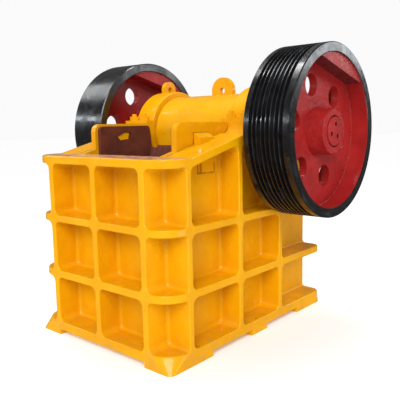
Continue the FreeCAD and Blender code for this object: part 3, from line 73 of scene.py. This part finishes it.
# ----------------------------------------------------------------------------------------
# Node graphs
# ----------------------------------------------------------------------------------------
class Graph:
    """A material's node tree, with short calls for the nodes used here."""

    def __init__(self, name, **constants):
        self.material = bpy.data.materials.new(name)
        self.material.use_nodes = True
        self.tree = self.material.node_tree
        self.shader = self.tree.nodes["Principled BSDF"]
        for socket, value in constants.items():
            self.shader.inputs[socket.replace("_", " ")].default_value = value
        self.place = self.new("ShaderNodeTexCoord").outputs["Object"]
        parts = self.new("ShaderNodeSeparateXYZ")
        self.feed(parts.inputs[0], self.place)
        self.x, self.y, self.z = parts.outputs

    def new(self, kind, **settings):
        """A new node with some of its properties set."""
        made = self.tree.nodes.new(kind)
        for key, value in settings.items():
            setattr(made, key, value)
        return made

    def feed(self, socket, value):
        """Joins another node's output to a socket, or sets the socket to a constant."""
        if isinstance(value, bpy.types.NodeSocket):
            self.tree.links.new(value, socket)
        else:
            socket.default_value = value

    def math(self, operation, *values):
        """The result of a math node; each value is an output or a number."""
        made = self.new("ShaderNodeMath", operation=operation)
        for socket, value in zip(made.inputs, values):
            self.feed(socket, value)
        return made.outputs[0]

    def add(self, a, b):
        """a + b"""
        return self.math("ADD", a, b)

    def times(self, a, b):
        """a * b; also the overlap of two masks."""
        return self.math("MULTIPLY", a, b)

    def vector(self, x, y, z):
        """A place made from three values."""
        made = self.new("ShaderNodeCombineXYZ")
        for socket, value in zip(made.inputs, (x, y, z)):
            self.feed(socket, value)
        return made.outputs[0]

    def stretched(self, scales):
        """The place on the object, scaled differently along each axis."""
        made = self.new("ShaderNodeVectorMath", operation="MULTIPLY")
        self.feed(made.inputs[0], self.place)
        made.inputs[1].default_value = scales
        return made.outputs[0]

    def noise(self, scale, detail, place=None, distortion=0.0):
        """Cloudy noise round 0.5; scale is in clouds per metre or so."""
        made = self.new("ShaderNodeTexNoise")
        self.feed(made.inputs["Vector"], place or self.place)
        made.inputs["Scale"].default_value = scale
        made.inputs["Detail"].default_value = detail
        made.inputs["Roughness"].default_value = 0.55
        made.inputs["Distortion"].default_value = distortion
        return made.outputs["Fac"]

    def cells(self, scale):
        """Distance to the nearest of scattered points, and that point's random colour."""
        made = self.new("ShaderNodeTexVoronoi", feature="F1")
        self.feed(made.inputs["Vector"], self.place)
        made.inputs["Scale"].default_value = scale
        return made.outputs["Distance"], made.outputs["Color"]

    def distance_to(self, point):
        """Distance from a point on the object."""
        made = self.new("ShaderNodeVectorMath", operation="DISTANCE")
        self.feed(made.inputs[0], self.place)
        made.inputs[1].default_value = point
        return made.outputs["Value"]

    def from_middle(self):
        """Distance from the machine's middle plane."""
        return self.math("ABSOLUTE", self.x)

    def ramp(self, value, low, high, to_low=0.0, to_high=1.0):
        """value mapped smoothly from low..high to to_low..to_high, held level outside."""
        made = self.new("ShaderNodeMapRange", interpolation_type="SMOOTHSTEP")
        self.feed(made.inputs["Value"], value)
        made.inputs["From Min"].default_value = low
        made.inputs["From Max"].default_value = high
        made.inputs["To Min"].default_value = to_low
        made.inputs["To Max"].default_value = to_high
        return made.outputs["Result"]

    def band(self, value, low, high, soft):
        """1 between low and high, 0 outside, with soft edges."""
        return self.times(self.ramp(value, low - soft, low + soft),
                          self.ramp(value, high - soft, high + soft, 1.0, 0.0))

    def mix(self, factor, first, second):
        """The first colour where factor is 0 and the second where it is 1."""
        made = self.new("ShaderNodeMix", data_type="RGBA")
        self.feed(made.inputs[0], factor)
        # A mix node has sockets for every kind of value; 6 and 7 are its two colours.
        for socket, value in ((made.inputs[6], first), (made.inputs[7], second)):
            if isinstance(value, tuple):
                value = (*value, 1.0)
            self.feed(socket, value)
        return made.outputs[2]

    def radius(self):
        """Distance from the shaft's axis."""
        y = self.add(self.y, -SHAFT.y)
        z = self.add(self.z, -SHAFT.z)
        return self.math("SQRT", self.add(self.times(y, y), self.times(z, z)))

    def angle(self):
        """Angle round the shaft's axis."""
        return self.math("ARCTAN2", self.add(self.y, -SHAFT.y), self.add(self.z, -SHAFT.z))

    def facing_up(self):
        """Upward component of the surface's normal."""
        parts = self.new("ShaderNodeSeparateXYZ")
        self.feed(parts.inputs[0], self.new("ShaderNodeTexCoord").outputs["Normal"])
        return parts.outputs["Z"]

    def bump(self, height, distance, strength=1.0, under=None):
        """A normal bent by a height, on top of an earlier bump where one is given."""
        made = self.new("ShaderNodeBump")
        made.inputs["Strength"].default_value = strength
        made.inputs["Distance"].default_value = distance
        self.feed(made.inputs["Height"], height)
        if under:
            self.feed(made.inputs["Normal"], under)
        return made.outputs[0]

    def finish(self, colour, roughness, normal, metallic=None):
        """Joins the last values to the shader and gives the finished material."""
        self.feed(self.shader.inputs["Base Color"], colour)
        self.feed(self.shader.inputs["Roughness"], roughness)
        self.feed(self.shader.inputs["Normal"], normal)
        if metallic is not None:
            self.feed(self.shader.inputs["Metallic"], metallic)
        return self.material


# ----------------------------------------------------------------------------------------
# Materials
# ----------------------------------------------------------------------------------------
# Colours are linear red, green and blue.
RED = (0.350, 0.0150, 0.0140)
DEEP_RED = (0.285, 0.0115, 0.0110)
THREAD_PITCH = 0.0045
SHIM_THICK = 0.006


def casting_bump(g):
    """Uneven cast iron under thick paint: long waves, sagging runs, pitting and sand grain."""
    waves = g.bump(g.noise(9, 2), 0.012, 0.55)
    runs = g.noise(26, 2, g.stretched((1, 1, 0.16)), distortion=0.4)
    sagging = g.bump(g.ramp(runs, 0.52, 0.78), 0.0011, 0.6, waves)
    lumps = g.bump(g.noise(55, 3), 0.0016, 0.55, sagging)
    return g.bump(g.noise(420, 2), 0.0004, 0.5, lumps)


def specks(g, scale, share, size):
    """Scattered small spots: 1 in a spot, 0 elsewhere."""
    distance, tint = g.cells(scale)
    chosen = g.math("GREATER_THAN", tint, 1.0 - share)
    return g.times(chosen, g.ramp(distance, size * 0.6, size, 1.0, 0.0))


def boss_gap_shade(g, colour):
    """A dark spot of painted shade in the gap beside the boss on the right cheek."""
    gap_shade = g.ramp(g.distance_to(BOSS_GAP_SHADE), 0.004, 0.0075, 1.0, 0.0)
    return g.mix(gap_shade, colour, (0.045, 0.022, 0.012))


def pad_outline(g, colour):
    """A broken brown line round the pads, where their paint has cracked off the walls."""
    behind_front = g.add(g.y, -PAD_FRONT)
    before_rear = g.add(PAD_REAR, g.times(g.y, -1))
    above_foot = g.add(g.z, -PAD_FOOT)
    inside = g.math("MINIMUM", g.math("MINIMUM", behind_front, before_rear), above_foot)
    edge = g.band(inside, -0.0045, 0.0035, 0.0015)
    broken = g.ramp(g.noise(45, 4), 0.36, 0.50)
    on_wall = g.band(g.from_middle(), PAD_FACE - 0.016, PAD_FACE + 0.002, 0.001)
    under_deck = g.math("LESS_THAN", g.z, PAD_HEAD)
    chipped = g.times(g.times(edge, broken), g.times(on_wall, under_deck))
    return g.mix(g.times(chipped, 0.85), colour, (0.200, 0.058, 0.012))


def cheek_shade_and_grime(g, colour):
    """A dark brown band of painted shade and grime in the corners where the cheeks meet the deck, the bosses and
    the seats.
    """
    corner = g.band(g.from_middle(), CHEEK_FACE + 0.0024, CHEEK_FACE + 0.0110, 0.0008)
    shade_and_grime = g.times(corner, g.math("GREATER_THAN", g.z, DECK_TOP + 0.001))
    uneven = g.ramp(g.noise(24, 3), 0.30, 0.60, 0.25, 0.85)
    return g.mix(g.times(shade_and_grime, uneven), colour, (0.160, 0.048, 0.004))


def bare_deck(g, colour, rough, normal):
    """Colour, roughness and normal with scored, partly bare iron on the deck's level top."""
    lines = g.noise(8, 3, g.stretched((0.35, 46, 1)))
    top = g.times(g.math("GREATER_THAN", g.z, DECK_TOP - 0.0005),
                  g.math("GREATER_THAN", g.facing_up(), 0.9))
    worn = g.ramp(g.noise(22, 5), 0.47, 0.60)
    patch = g.ramp(g.add(g.times(worn, 0.35), g.times(lines, 0.65)), 0.30, 0.62)
    bare = g.mix(patch, (0.430, 0.175, 0.095), (0.640, 0.370, 0.235))
    keep = g.ramp(g.noise(11, 4), 0.40, 0.47)
    return (g.mix(g.times(top, keep), colour, bare),
            g.add(rough, g.times(top, 0.12)),
            g.bump(g.times(top, lines), 0.0007, 0.6, normal))


def yellow_paint(name="YellowEnamel", machined_top=False, wall_marks=False):
    """Thick glossy enamel over sand castings.

    machined_top bares the top of the front wall, and wall_marks adds the side walls' chipped pad
    outlines, a spot of painted shade beside the boss and painted shade and grime in the corners.
    """
    g = Graph(name, Coat_Weight=0.40, Coat_Roughness=0.08, Specular_IOR_Level=0.12)
    clouds = g.ramp(g.noise(4.5, 4, distortion=0.6), 0.36, 0.66)
    colour = g.mix(clouds, (0.775, 0.362, 0.0016), (0.722, 0.322, 0.0012))
    streaks = g.ramp(g.noise(20, 3, g.stretched((1, 1, 0.12))), 0.55, 0.8, 0.0, 0.35)
    colour = g.mix(streaks, colour, (0.84, 0.385, 0.005))
    thin = g.ramp(g.noise(75, 4), 0.68, 0.82, 0.0, 0.22)
    colour = g.mix(thin, colour, (0.600, 0.205, 0.010))
    low = g.times(g.ramp(g.z, 0.02, 0.16, 1.0, 0.0), g.ramp(g.noise(14, 5), 0.42, 0.7))
    colour = g.mix(g.times(low, 0.28), colour, (0.430, 0.245, 0.075))
    dots = specks(g, 26, 0.07, 0.040)
    colour = g.mix(g.times(dots, 0.6), colour, (0.300, 0.105, 0.010))
    if wall_marks:
        # Chipped pad outlines, and painted shade beside the boss and in the cheeks' corners.
        for mark in (boss_gap_shade, pad_outline, cheek_shade_and_grime):
            colour = mark(g, colour)
    rough = g.add(g.ramp(g.noise(16, 4), 0.3, 0.7, 0.25, 0.42), g.times(low, 0.3))
    normal = casting_bump(g)
    if machined_top:
        colour, rough, normal = bare_deck(g, colour, rough, normal)
    return g.finish(colour, rough, normal)


def red_paint(name="RedEnamel"):
    """Semi-gloss red on rough iron, with a chipped light line where the web meets the rim and painted shade on the
    counterweight's bare flat side.
    """
    g = Graph(name, Coat_Weight=0.14, Coat_Roughness=0.22, Specular_IOR_Level=0.24)
    clouds = g.ramp(g.noise(7, 4, distortion=0.5), 0.35, 0.65)
    colour = g.mix(clouds, RED, DEEP_RED)
    dust = g.ramp(g.noise(38, 5), 0.56, 0.78, 0.0, 0.34)
    colour = g.mix(dust, colour, (0.470, 0.0550, 0.0500))
    dots = specks(g, 34, 0.12, 0.07)
    colour = g.mix(g.times(dots, 0.6), colour, (0.090, 0.012, 0.012))
    seam = g.band(g.radius(), SEAM_FROM, SEAM_TO, 0.0006)
    turning = g.vector(g.times(g.angle(), 9.0), g.times(g.radius(), 40.0), 0.0)
    chips = g.ramp(g.noise(7, 4, turning), 0.44, 0.54)
    colour = g.mix(g.times(g.times(seam, chips), 0.75), colour, (0.560, 0.430, 0.400))
    # Painted shade: the counterweight's flat side faces down and is painted a dark brown-red, rough like bare cast
    # iron.
    height = g.add(g.times(g.add(g.y, -SHAFT.y), math.sin(WEIGHT_TURN)),
                   g.times(g.add(g.z, -SHAFT.z), math.cos(WEIGHT_TURN)))
    beyond = g.math("GREATER_THAN", g.from_middle(), WEB_FACE + 0.004)
    weight_flat_shade = g.times(g.band(height, WEIGHT_FLAT - 0.002, WEIGHT_FLAT + 0.0012, 0.0006), beyond)
    flat_side_colour = g.mix(g.ramp(g.noise(60, 5), 0.4, 0.62), (0.085, 0.0120, 0.0110),
                  (0.150, 0.0170, 0.0150))
    colour = g.mix(weight_flat_shade, colour, flat_side_colour)
    weight = g.times(g.math("GREATER_THAN", height, WEIGHT_FLAT + 0.002), beyond)
    rough = g.ramp(g.noise(19, 4), 0.3, 0.7, 0.30, 0.50)
    waves = g.bump(g.noise(13, 3), 0.012, 0.6)
    lumps = g.bump(g.times(g.noise(58, 4), g.ramp(weight, 0, 1, 0.7, 1.5)), 0.0036, 0.7, waves)
    normal = g.bump(g.noise(380, 2), 0.0005, 0.55, lumps)
    return g.finish(colour, rough, normal)


def black_rim(name="BlackRim"):
    """Satin black on turned iron, with pale bluish streaks of painted sheen round the tread and red inside the
    rim.
    """
    g = Graph(name, Specular_IOR_Level=0.20)
    radius = g.radius()
    round_it = g.vector(g.times(g.angle(), 0.9), g.times(g.x, 26.0), g.times(radius, 26.0))
    streaks = g.noise(3.2, 5, round_it, distortion=0.5)
    smears = g.noise(7, 5, distortion=1.2)
    # Painted sheen: pale bluish streaks stand in for reflections on the turned tread.
    sheen_streaks = g.times(g.ramp(streaks, 0.46, 0.72), g.ramp(smears, 0.40, 0.66))
    colour = g.mix(g.times(sheen_streaks, 0.55), (0.0060, 0.0060, 0.0066), (0.0520, 0.0560, 0.0680))
    nicks = specks(g, 42, 0.07, 0.06)
    colour = g.mix(g.times(nicks, 0.6), colour, (0.135, 0.130, 0.130))
    inner = g.ramp(radius, RED_INSIDE, RED_INSIDE + 0.0006, 1.0, 0.0)
    red = g.mix(g.ramp(g.noise(7, 4), 0.35, 0.65), RED, DEEP_RED)
    colour = g.mix(inner, colour, red)
    rough = g.add(g.ramp(smears, 0.35, 0.65, 0.24, 0.40), g.times(inner, 0.12))
    g.feed(g.shader.inputs["Coat Weight"], g.ramp(inner, 0, 1, 0.72, 0.10))
    g.feed(g.shader.inputs["Coat Roughness"], g.ramp(smears, 0.35, 0.65, 0.10, 0.26))
    turned = g.bump(g.noise(14, 2, g.stretched((60, 1, 1))), 0.0005, 0.35)
    waves = g.bump(g.noise(11, 3, distortion=0.8), 0.0055, 0.5, turned)
    normal = g.bump(g.noise(170, 3), 0.0005, 0.5, waves)
    return g.finish(colour, rough, normal)


def manganese_plate(name="ManganesePlate"):
    """Rough manganese casting in a dull red-brown primer, rubbed and rusty in patches."""
    g = Graph(name, Specular_IOR_Level=0.22)
    clouds = g.ramp(g.noise(11, 5, distortion=0.4), 0.35, 0.66)
    colour = g.mix(clouds, (0.142, 0.0340, 0.0205), (0.100, 0.0245, 0.0155))
    rust = g.ramp(g.noise(48, 5), 0.60, 0.76, 0.0, 0.55)
    colour = g.mix(rust, colour, (0.205, 0.0720, 0.0380))
    rubbed = g.ramp(g.noise(24, 4, g.stretched((1, 1, 0.2))), 0.62, 0.78, 0.0, 0.30)
    colour = g.mix(rubbed, colour, (0.165, 0.0850, 0.0720))
    rough = g.ramp(g.noise(30, 4), 0.3, 0.7, 0.44, 0.66)
    waves = g.bump(g.noise(16, 2), 0.006, 0.5)
    lumps = g.bump(g.noise(85, 4), 0.0018, 0.6, waves)
    normal = g.bump(g.noise(500, 2), 0.0005, 0.6, lumps)
    return g.finish(colour, rough, normal)


def plug_highlight_paint(name="PlugPaintedHighlight"):
    """Pale yellow for the plug on the deck: a painted highlight, paler than the paint round it."""
    g = Graph(name, Specular_IOR_Level=0.35)
    clouds = g.ramp(g.noise(60, 3), 0.35, 0.65)
    colour = g.mix(clouds, (0.880, 0.500, 0.170), (0.800, 0.390, 0.050))
    rough = g.ramp(g.noise(30, 4), 0.3, 0.7, 0.38, 0.55)
    normal = g.bump(g.noise(500, 2), 0.0003, 0.5)
    return g.finish(colour, rough, normal)


def machined_steel(name="TurnedSteel"):
    """Turned shaft steel with fine rings and an uneven film of oil."""
    g = Graph(name, Metallic=1.0)
    rings = g.noise(30, 3, g.stretched((70, 1, 1)))
    film = g.ramp(g.noise(18, 4, distortion=0.6), 0.4, 0.7)
    colour = g.mix(film, (0.470, 0.465, 0.460), (0.270, 0.245, 0.215))
    rough = g.add(g.ramp(rings, 0.3, 0.7, 0.20, 0.34), g.times(film, 0.12))
    return g.finish(colour, rough, g.bump(rings, 0.0003, 0.5))


def rolled_steel(name="RolledSteel", thread_from=None, stacked=False):
    """Dark rolled steel with mill scale and rust.

    thread_from cuts a thread into a tension rod behind that place along Y, and stacked
    shows the gaps between the shims.
    """
    g = Graph(name)
    scale = g.ramp(g.noise(16, 5, distortion=0.5), 0.42, 0.62)
    colour = g.mix(scale, (0.105, 0.0980, 0.0920), (0.050, 0.0470, 0.0460))
    rust = g.ramp(g.noise(44, 5), 0.56, 0.72, 0.0, 0.8)
    colour = g.mix(rust, colour, (0.175, 0.0640, 0.0260))
    rough = g.add(g.ramp(scale, 0, 1, 0.55, 0.38), g.times(rust, 0.25))
    metal = g.ramp(rust, 0.0, 0.8, 0.85, 0.15)
    lumps = g.bump(g.noise(60, 4), 0.0012, 0.55)
    normal = g.bump(g.noise(360, 2), 0.0004, 0.5, lumps)
    if thread_from is not None:
        beside = g.add(g.from_middle(), -ROD_AXIS.x)
        turn = g.math("ARCTAN2", g.add(g.z, -ROD_AXIS.z), beside)
        wave = g.math("SINE", g.add(g.times(g.y, math.tau / THREAD_PITCH), turn))
        cut = g.times(wave, g.math("GREATER_THAN", g.y, thread_from))
        normal = g.bump(cut, THREAD_PITCH * 0.25, 1.0, normal)
    if stacked:
        lines = g.math("SINE", g.times(g.y, math.tau / SHIM_THICK))
        normal = g.bump(g.ramp(lines, -1.0, -0.6), 0.0012, 1.0, normal)
    return g.finish(colour, rough, normal, metal)


def black_steel(name="DarkSteel"):
    """Blackened screws with a little grease."""
    g = Graph(name, Metallic=0.7)
    film = g.ramp(g.noise(60, 4), 0.4, 0.65)
    colour = g.mix(film, (0.030, 0.028, 0.028), (0.012, 0.011, 0.011))
    rough = g.ramp(film, 0, 1, 0.30, 0.50)
    return g.finish(colour, rough, g.bump(g.noise(260, 3), 0.0005, 0.5))


yellow = yellow_paint()
machined_front = yellow_paint("YellowEnamelDeck", machined_top=True)
marked_wall = yellow_paint("YellowEnamelChipsAndShade", wall_marks=True)
red = red_paint()
black = black_rim()
maroon = manganese_plate()
# The plug's pale colour is a painted highlight.
rubbed = plug_highlight_paint()
steel = machined_steel()
rough_steel = rolled_steel()
threaded = rolled_steel("ThreadedRod", thread_from=SPRING_HIGH.y - 0.005)
shim_stack = rolled_steel("ShimStack", stacked=True)
dark = black_steel()

LOOKS = {"yellow_paint": yellow, "red_paint": red, "black_paint": black,
         "manganese_steel": maroon, "machined_steel": steel, "rough_steel": rough_steel}
SPECIAL = {"front_wall": machined_front, "adjusting_shims": shim_stack,
           "side_wall_right": marked_wall, "side_wall_left": marked_wall,
           "tension_rod_right": threaded, "tension_rod_left": threaded}
for entry in frame["record"]["subparts"]:
    target = nodes[entry["node"]]
    target.data.materials.clear()
    target.data.materials.append(SPECIAL.get(entry["node"], LOOKS[entry["material_slot"]]))


# ----------------------------------------------------------------------------------------
# Fine pieces
# ----------------------------------------------------------------------------------------
SCREW_CIRCLE = 0.040     # radius of the circle of screws in an end disc
BORE = 0.0125            # radius of the screws' counterbores
BORE_DEEP = 0.011
# Faces that meet at less than these angles are shaded as one.
SOFT, CRISP = math.radians(40), math.radians(30)


def placed(name, data):
    """A new object of the scene."""
    made = bpy.data.objects.new(name, data)
    bpy.context.scene.collection.objects.link(made)
    return made


def piece(name, mesh, body, material, smooth_below):
    """A mesh as a piece that rides on a body."""
    data = bpy.data.meshes.new(name)
    bmesh.ops.recalc_face_normals(mesh, faces=mesh.faces)
    for edge in mesh.edges:
        edge.smooth = len(edge.link_faces) == 2 and edge.calc_face_angle(0) < smooth_below
    for face in mesh.faces:
        face.smooth = True
    mesh.to_mesh(data)
    mesh.free()
    data.materials.append(material)
    made = placed(name, data)
    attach(made, body)
    return made


def ring_of(mesh, centre, along, across, radius, sides):
    """Vertices on a circle round centre; along is its normal and across a direction in it."""
    other = along.cross(across)
    made = []
    for step in range(sides):
        turn = math.tau * step / sides
        made.append(mesh.verts.new(centre + (across * math.cos(turn)
                                             + other * math.sin(turn)) * radius))
    return made


def bridge(mesh, first, second):
    """A band of faces between two rings with equal numbers of vertices."""
    count = len(first)
    for step in range(count):
        after = (step + 1) % count
        mesh.faces.new((first[step], first[after], second[after], second[step]))


def turned_solid(mesh, base, along, across, profile, sides):
    """A solid of revolution from (distance, radius) pairs, closed at both ends."""
    rings = [ring_of(mesh, base + along * distance, along, across, radius, sides)
             for distance, radius in profile]
    for first, second in zip(rings, rings[1:]):
        bridge(mesh, first, second)
    mesh.faces.new(rings[0])
    mesh.faces.new(rings[-1])


def hex_bolt(mesh, base, along, across, width, tall):
    """A washer and a hexagon head with a chamfered crown; width is across the flats."""
    thick = width * 0.11
    edge = width * 0.68
    turned_solid(mesh, base, along, across,
                 [(0, edge), (thick * 0.7, edge), (thick, edge * 0.96)], 28)
    corner = width / math.sqrt(3)
    foot = ring_of(mesh, base + along * thick, along, across, corner, 6)
    shoulder = ring_of(mesh, base + along * (thick + tall * 0.84), along, across, corner, 6)
    crown = ring_of(mesh, base + along * (thick + tall), along, across, corner * 0.86, 6)
    bridge(mesh, foot, shoulder)
    bridge(mesh, shoulder, crown)
    mesh.faces.new(foot)
    mesh.faces.new(crown)


def spring_point(turn, turns, length, wire):
    """Distance along a closed-ended spring after a number of turns."""
    closed = 0.9
    close_pitch = wire * 1.02
    open_pitch = (length - wire - 2 * closed * close_pitch) / (turns - 2 * closed)
    if turn < closed:
        return turn * close_pitch
    if turn < turns - closed:
        return closed * close_pitch + (turn - closed) * open_pitch
    return (closed * close_pitch + (turns - 2 * closed) * open_pitch
            + (turn - turns + closed) * close_pitch)


def coil_spring(name, node):
    """A coil spring with closed ends in the space of its plain envelope."""
    low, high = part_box(node)
    centre = (low + high) / 2
    length = high.y - low.y
    wire, turns, steps = 0.0092, 5.5, 40
    middle = (high.x - low.x) / 2 - wire / 2
    mesh = bmesh.new()
    rings = []
    for index in range(int(turns * steps) + 1):
        turn = index / steps
        angle = math.tau * turn
        out = Vector((math.cos(angle), 0, math.sin(angle)))
        along = Vector((-math.sin(angle), 0, math.cos(angle)))
        y = low.y + wire / 2 + spring_point(turn, turns, length, wire)
        point = Vector((centre.x, y, centre.z)) + out * middle
        rings.append(ring_of(mesh, point, along, out, wire / 2, 12))
    for first, second in zip(rings, rings[1:]):
        bridge(mesh, first, second)
    mesh.faces.new(rings[0])
    mesh.faces.new(rings[-1])
    made = piece(name, mesh, "frame", rough_steel, SOFT)
    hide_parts(node)


def disc_mesh(face, back, out, up, radius, holes):
    """A disc with a chamfered rim and a counterbore at each of the places in its face."""
    chamfer, countersink = 0.003, 0.0012
    mesh = bmesh.new()
    rear = ring_of(mesh, back, out, up, radius, 72)
    edge = ring_of(mesh, face - out * chamfer, out, up, radius, 72)
    rim = ring_of(mesh, face, out, up, radius - chamfer, 72)
    bridge(mesh, rear, edge)
    bridge(mesh, edge, rim)
    mesh.faces.new(rear)
    loops = [rim]
    for spot in holes:
        mouth = ring_of(mesh, spot, out, up, BORE + countersink, 28)
        throat = ring_of(mesh, spot - out * countersink, out, up, BORE, 28)
        floor = ring_of(mesh, spot - out * BORE_DEEP, out, up, BORE, 28)
        bridge(mesh, mouth, throat)
        bridge(mesh, throat, floor)
        mesh.faces.new(floor)
        loops.append(mouth)
    edges = []
    for loop in loops:
        for first, second in zip(loop, loop[1:] + loop[:1]):
            edges.append(mesh.edges.get((first, second)) or mesh.edges.new((first, second)))
    bmesh.ops.triangle_fill(mesh, use_beauty=True, edges=edges)
    return mesh


def socket_screw(mesh, base, out, up):
    """A cap screw's head with a round socket."""
    profile = [(0, 0.0098), (0.0075, 0.0098), (0.0085, 0.0090), (0.0085, 0.0052),
               (0.0030, 0.0048)]
    turned_solid(mesh, base, out, up, profile, 24)


def end_disc(name, node, side):
    """A shaft end disc with three screws in counterbores."""
    low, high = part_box(node)
    face_x, back_x = (high.x, low.x) if side > 0 else (low.x, high.x)
    face = Vector((face_x, SHAFT.y, SHAFT.z))
    back = Vector((back_x, SHAFT.y, SHAFT.z))
    radius = (high.y - low.y) / 2
    out, up = Vector((side, 0, 0)), Vector((0, 0, 1))
    holes = []
    for step in range(3):
        turn = math.radians(12 + 120 * step)
        holes.append(face + Vector((0, math.sin(turn), math.cos(turn))) * SCREW_CIRCLE)
    mesh = disc_mesh(face, back, out, up, radius, holes)
    made = piece(name, mesh, "rotor", red, CRISP)
    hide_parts(node)
    screws = bmesh.new()
    for spot in holes:
        socket_screw(screws, spot - out * (BORE_DEEP - 0.0002), out, up)
    piece(f"{name}_screws", screws, "rotor", dark, CRISP)


def cover_bolts(name, node, side):
    """Hexagon bolts round the outer face of a bearing cover."""
    low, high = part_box(node)
    face_x = high.x if side > 0 else low.x
    count, inset, width, tall = 8, 0.027, 0.024, 0.010
    radius = (high.y - low.y) / 2 - inset
    out, up = Vector((side, 0, 0)), Vector((0, 0, 1))
    mesh = bmesh.new()
    for step in range(count):
        turn = math.tau * (step + 0.5) / count
        spot = Vector((face_x, SHAFT.y + math.sin(turn) * radius,
                       SHAFT.z + math.cos(turn) * radius))
        hex_bolt(mesh, spot, out, up, width, tall)
    piece(name, mesh, "frame", yellow, CRISP)


def deck_plug(name, base):
    """A small turned plug on the right deck."""
    mesh = bmesh.new()
    profile = [(-0.004, 0.0120), (0.005, 0.0120), (0.0065, 0.0105), (0.0065, 0.0070),
               (0.0140, 0.0070), (0.0160, 0.0050)]
    turned_solid(mesh, base, Vector((0, 0, 1)), Vector((1, 0, 0)), profile, 24)
    piece(name, mesh, "frame", rubbed, CRISP)


deck_plug("deck_plug", PLUG)
for side_name, side in (("right", 1), ("left", -1)):
    coil_spring(f"coil_spring_{side_name}", f"rod_spring_{side_name}")
    end_disc(f"end_disc_{side_name}", f"hub_disc_{side_name}", side)
    cover_bolts(f"cover_bolts_{side_name}", f"bearing_cover_{side_name}", side)


# ----------------------------------------------------------------------------------------
# Camera, floor and light
# ----------------------------------------------------------------------------------------
SENSOR = 36.0
FOCAL_SHARE = 1.36225    # focal length as a share of the picture's width
YAW, PITCH, ROLL = math.radians(40.97), math.radians(8.106), math.radians(-1.089)
EYE = Vector((4.7261, -5.7796, 0.1298))    # camera from the shaft, in wheel radii
HALF_FLOOR = 40.0
FLOOR_Z = -0.0008        # just under the feet
# How bright the sky is where it lights a surface, where it is reflected and where it is seen.
DIFFUSE_SKY, GLOSSY_SKY, SEEN_SKY = 0.44, 0.10, 0.96


def aimed(direction):
    """The rotation that points a camera or a light along a direction."""
    return direction.to_track_quat("-Z", "Y")


def add_camera():
    """The camera of the picture, at the front right and a little above the shaft."""
    data = bpy.data.cameras.new("Camera")
    data.sensor_width = SENSOR
    data.lens = FOCAL_SHARE * SENSOR
    camera = placed("Camera", data)
    looking = Vector((-math.sin(YAW) * math.cos(PITCH), math.cos(YAW) * math.cos(PITCH),
                      -math.sin(PITCH)))
    camera.rotation_mode = "QUATERNION"
    camera.rotation_quaternion = aimed(looking) @ Matrix.Rotation(ROLL, 4, "Z").to_quaternion()
    camera.location = SHAFT + EYE * WHEEL_RADIUS
    bpy.context.scene.camera = camera


def floor_material():
    """Nearly white floor that glows a little, so that it runs into the background."""
    g = Graph("PaleFloor", Specular_IOR_Level=0.1, Emission_Color=(1, 1, 1, 1),
              Emission_Strength=0.11)
    colour = g.mix(g.noise(0.7, 2), (0.97, 0.97, 0.97), (0.99, 0.99, 0.99))
    return g.finish(colour, 0.9, g.bump(g.noise(30, 2), 0.0002, 0.2))


def add_floor():
    """A wide plain floor, kept out of the reflections in the paint."""
    mesh = bpy.data.meshes.new("Floor")
    corners = [(x * HALF_FLOOR, y * HALF_FLOOR, FLOOR_Z)
               for x, y in ((-1, -1), (1, -1), (1, 1), (-1, 1))]
    mesh.from_pydata(corners, [], [(0, 1, 2, 3)])
    mesh.materials.append(floor_material())
    floor = placed("Floor", mesh)
    floor.visible_glossy = False


def add_world():
    """A white sky, bright to the camera, softer on the paint and dim in reflections."""
    world = bpy.data.worlds.new("World")
    world.use_nodes = True
    tree = world.node_tree
    sky = tree.nodes["Background"]
    sky.inputs["Color"].default_value = (1, 1, 1, 1)
    rays = tree.nodes.new("ShaderNodeLightPath")
    # Sockets 2 and 3 of a mix node are its two numbers.
    by_gloss = tree.nodes.new("ShaderNodeMix")
    by_gloss.inputs[2].default_value = DIFFUSE_SKY
    by_gloss.inputs[3].default_value = GLOSSY_SKY
    by_sight = tree.nodes.new("ShaderNodeMix")
    by_sight.inputs[3].default_value = SEEN_SKY
    tree.links.new(rays.outputs["Is Glossy Ray"], by_gloss.inputs[0])
    tree.links.new(rays.outputs["Is Camera Ray"], by_sight.inputs[0])
    tree.links.new(by_gloss.outputs[0], by_sight.inputs[2])
    tree.links.new(by_sight.outputs[0], sky.inputs["Strength"])
    bpy.context.scene.world = world


def add_daylight():
    """One broad, soft sun from above the front right."""
    data = bpy.data.lights.new("Daylight", "SUN")
    data.energy = 2.7
    data.angle = math.radians(38)
    placed("Daylight", data).rotation_euler = aimed(Vector((-0.56, 0.74, -0.63))).to_euler()


def softbox(name, place, aim, size, power, tint=(1, 1, 1)):
    """A rectangular light, aimed at the part of the machine that reflects it."""
    data = bpy.data.lights.new(name, "AREA")
    data.shape = "RECTANGLE"
    data.size, data.size_y = size
    data.energy = power
    data.color = tint
    made = placed(name, data)
    made.location = place
    made.rotation_euler = aimed(Vector(aim) - Vector(place)).to_euler()


add_camera()
add_floor()
add_world()
add_daylight()
softbox("LeftStrip", (-3.80, -2.30, 2.25), (-0.7, -0.2, 1.14), (1.3, 0.30), 12.5,
        (0.86, 0.93, 1.0))
softbox("LeftBox", (-3.86, -0.65, 3.86), (-0.7, 0.0, 1.4), (1.3, 1.3), 21,
        (0.97, 0.99, 1.0))
softbox("FrontStrip", (-1.55, -3.5, 2.2), (0.7, -0.2, 1.14), (0.5, 0.22), 9.5,
        (0.88, 0.94, 1.0))
softbox("TopStrip", (-0.4, 0.6, 4.6), (0, 0.2, 1.0), (3.2, 0.6), 80)
softbox("RightStrip", (2.9, 4.2, 2.2), (0.85, 0.3, 1.6), (1.8, 0.7), 18,
        (0.93, 0.97, 1.0))
softbox("RightFill", (3.4, 0.3, 0.2), (0.6, 0.3, 0.6), (2.0, 0.9), 13)
bpy.context.scene.view_settings.view_transform = "Standard"
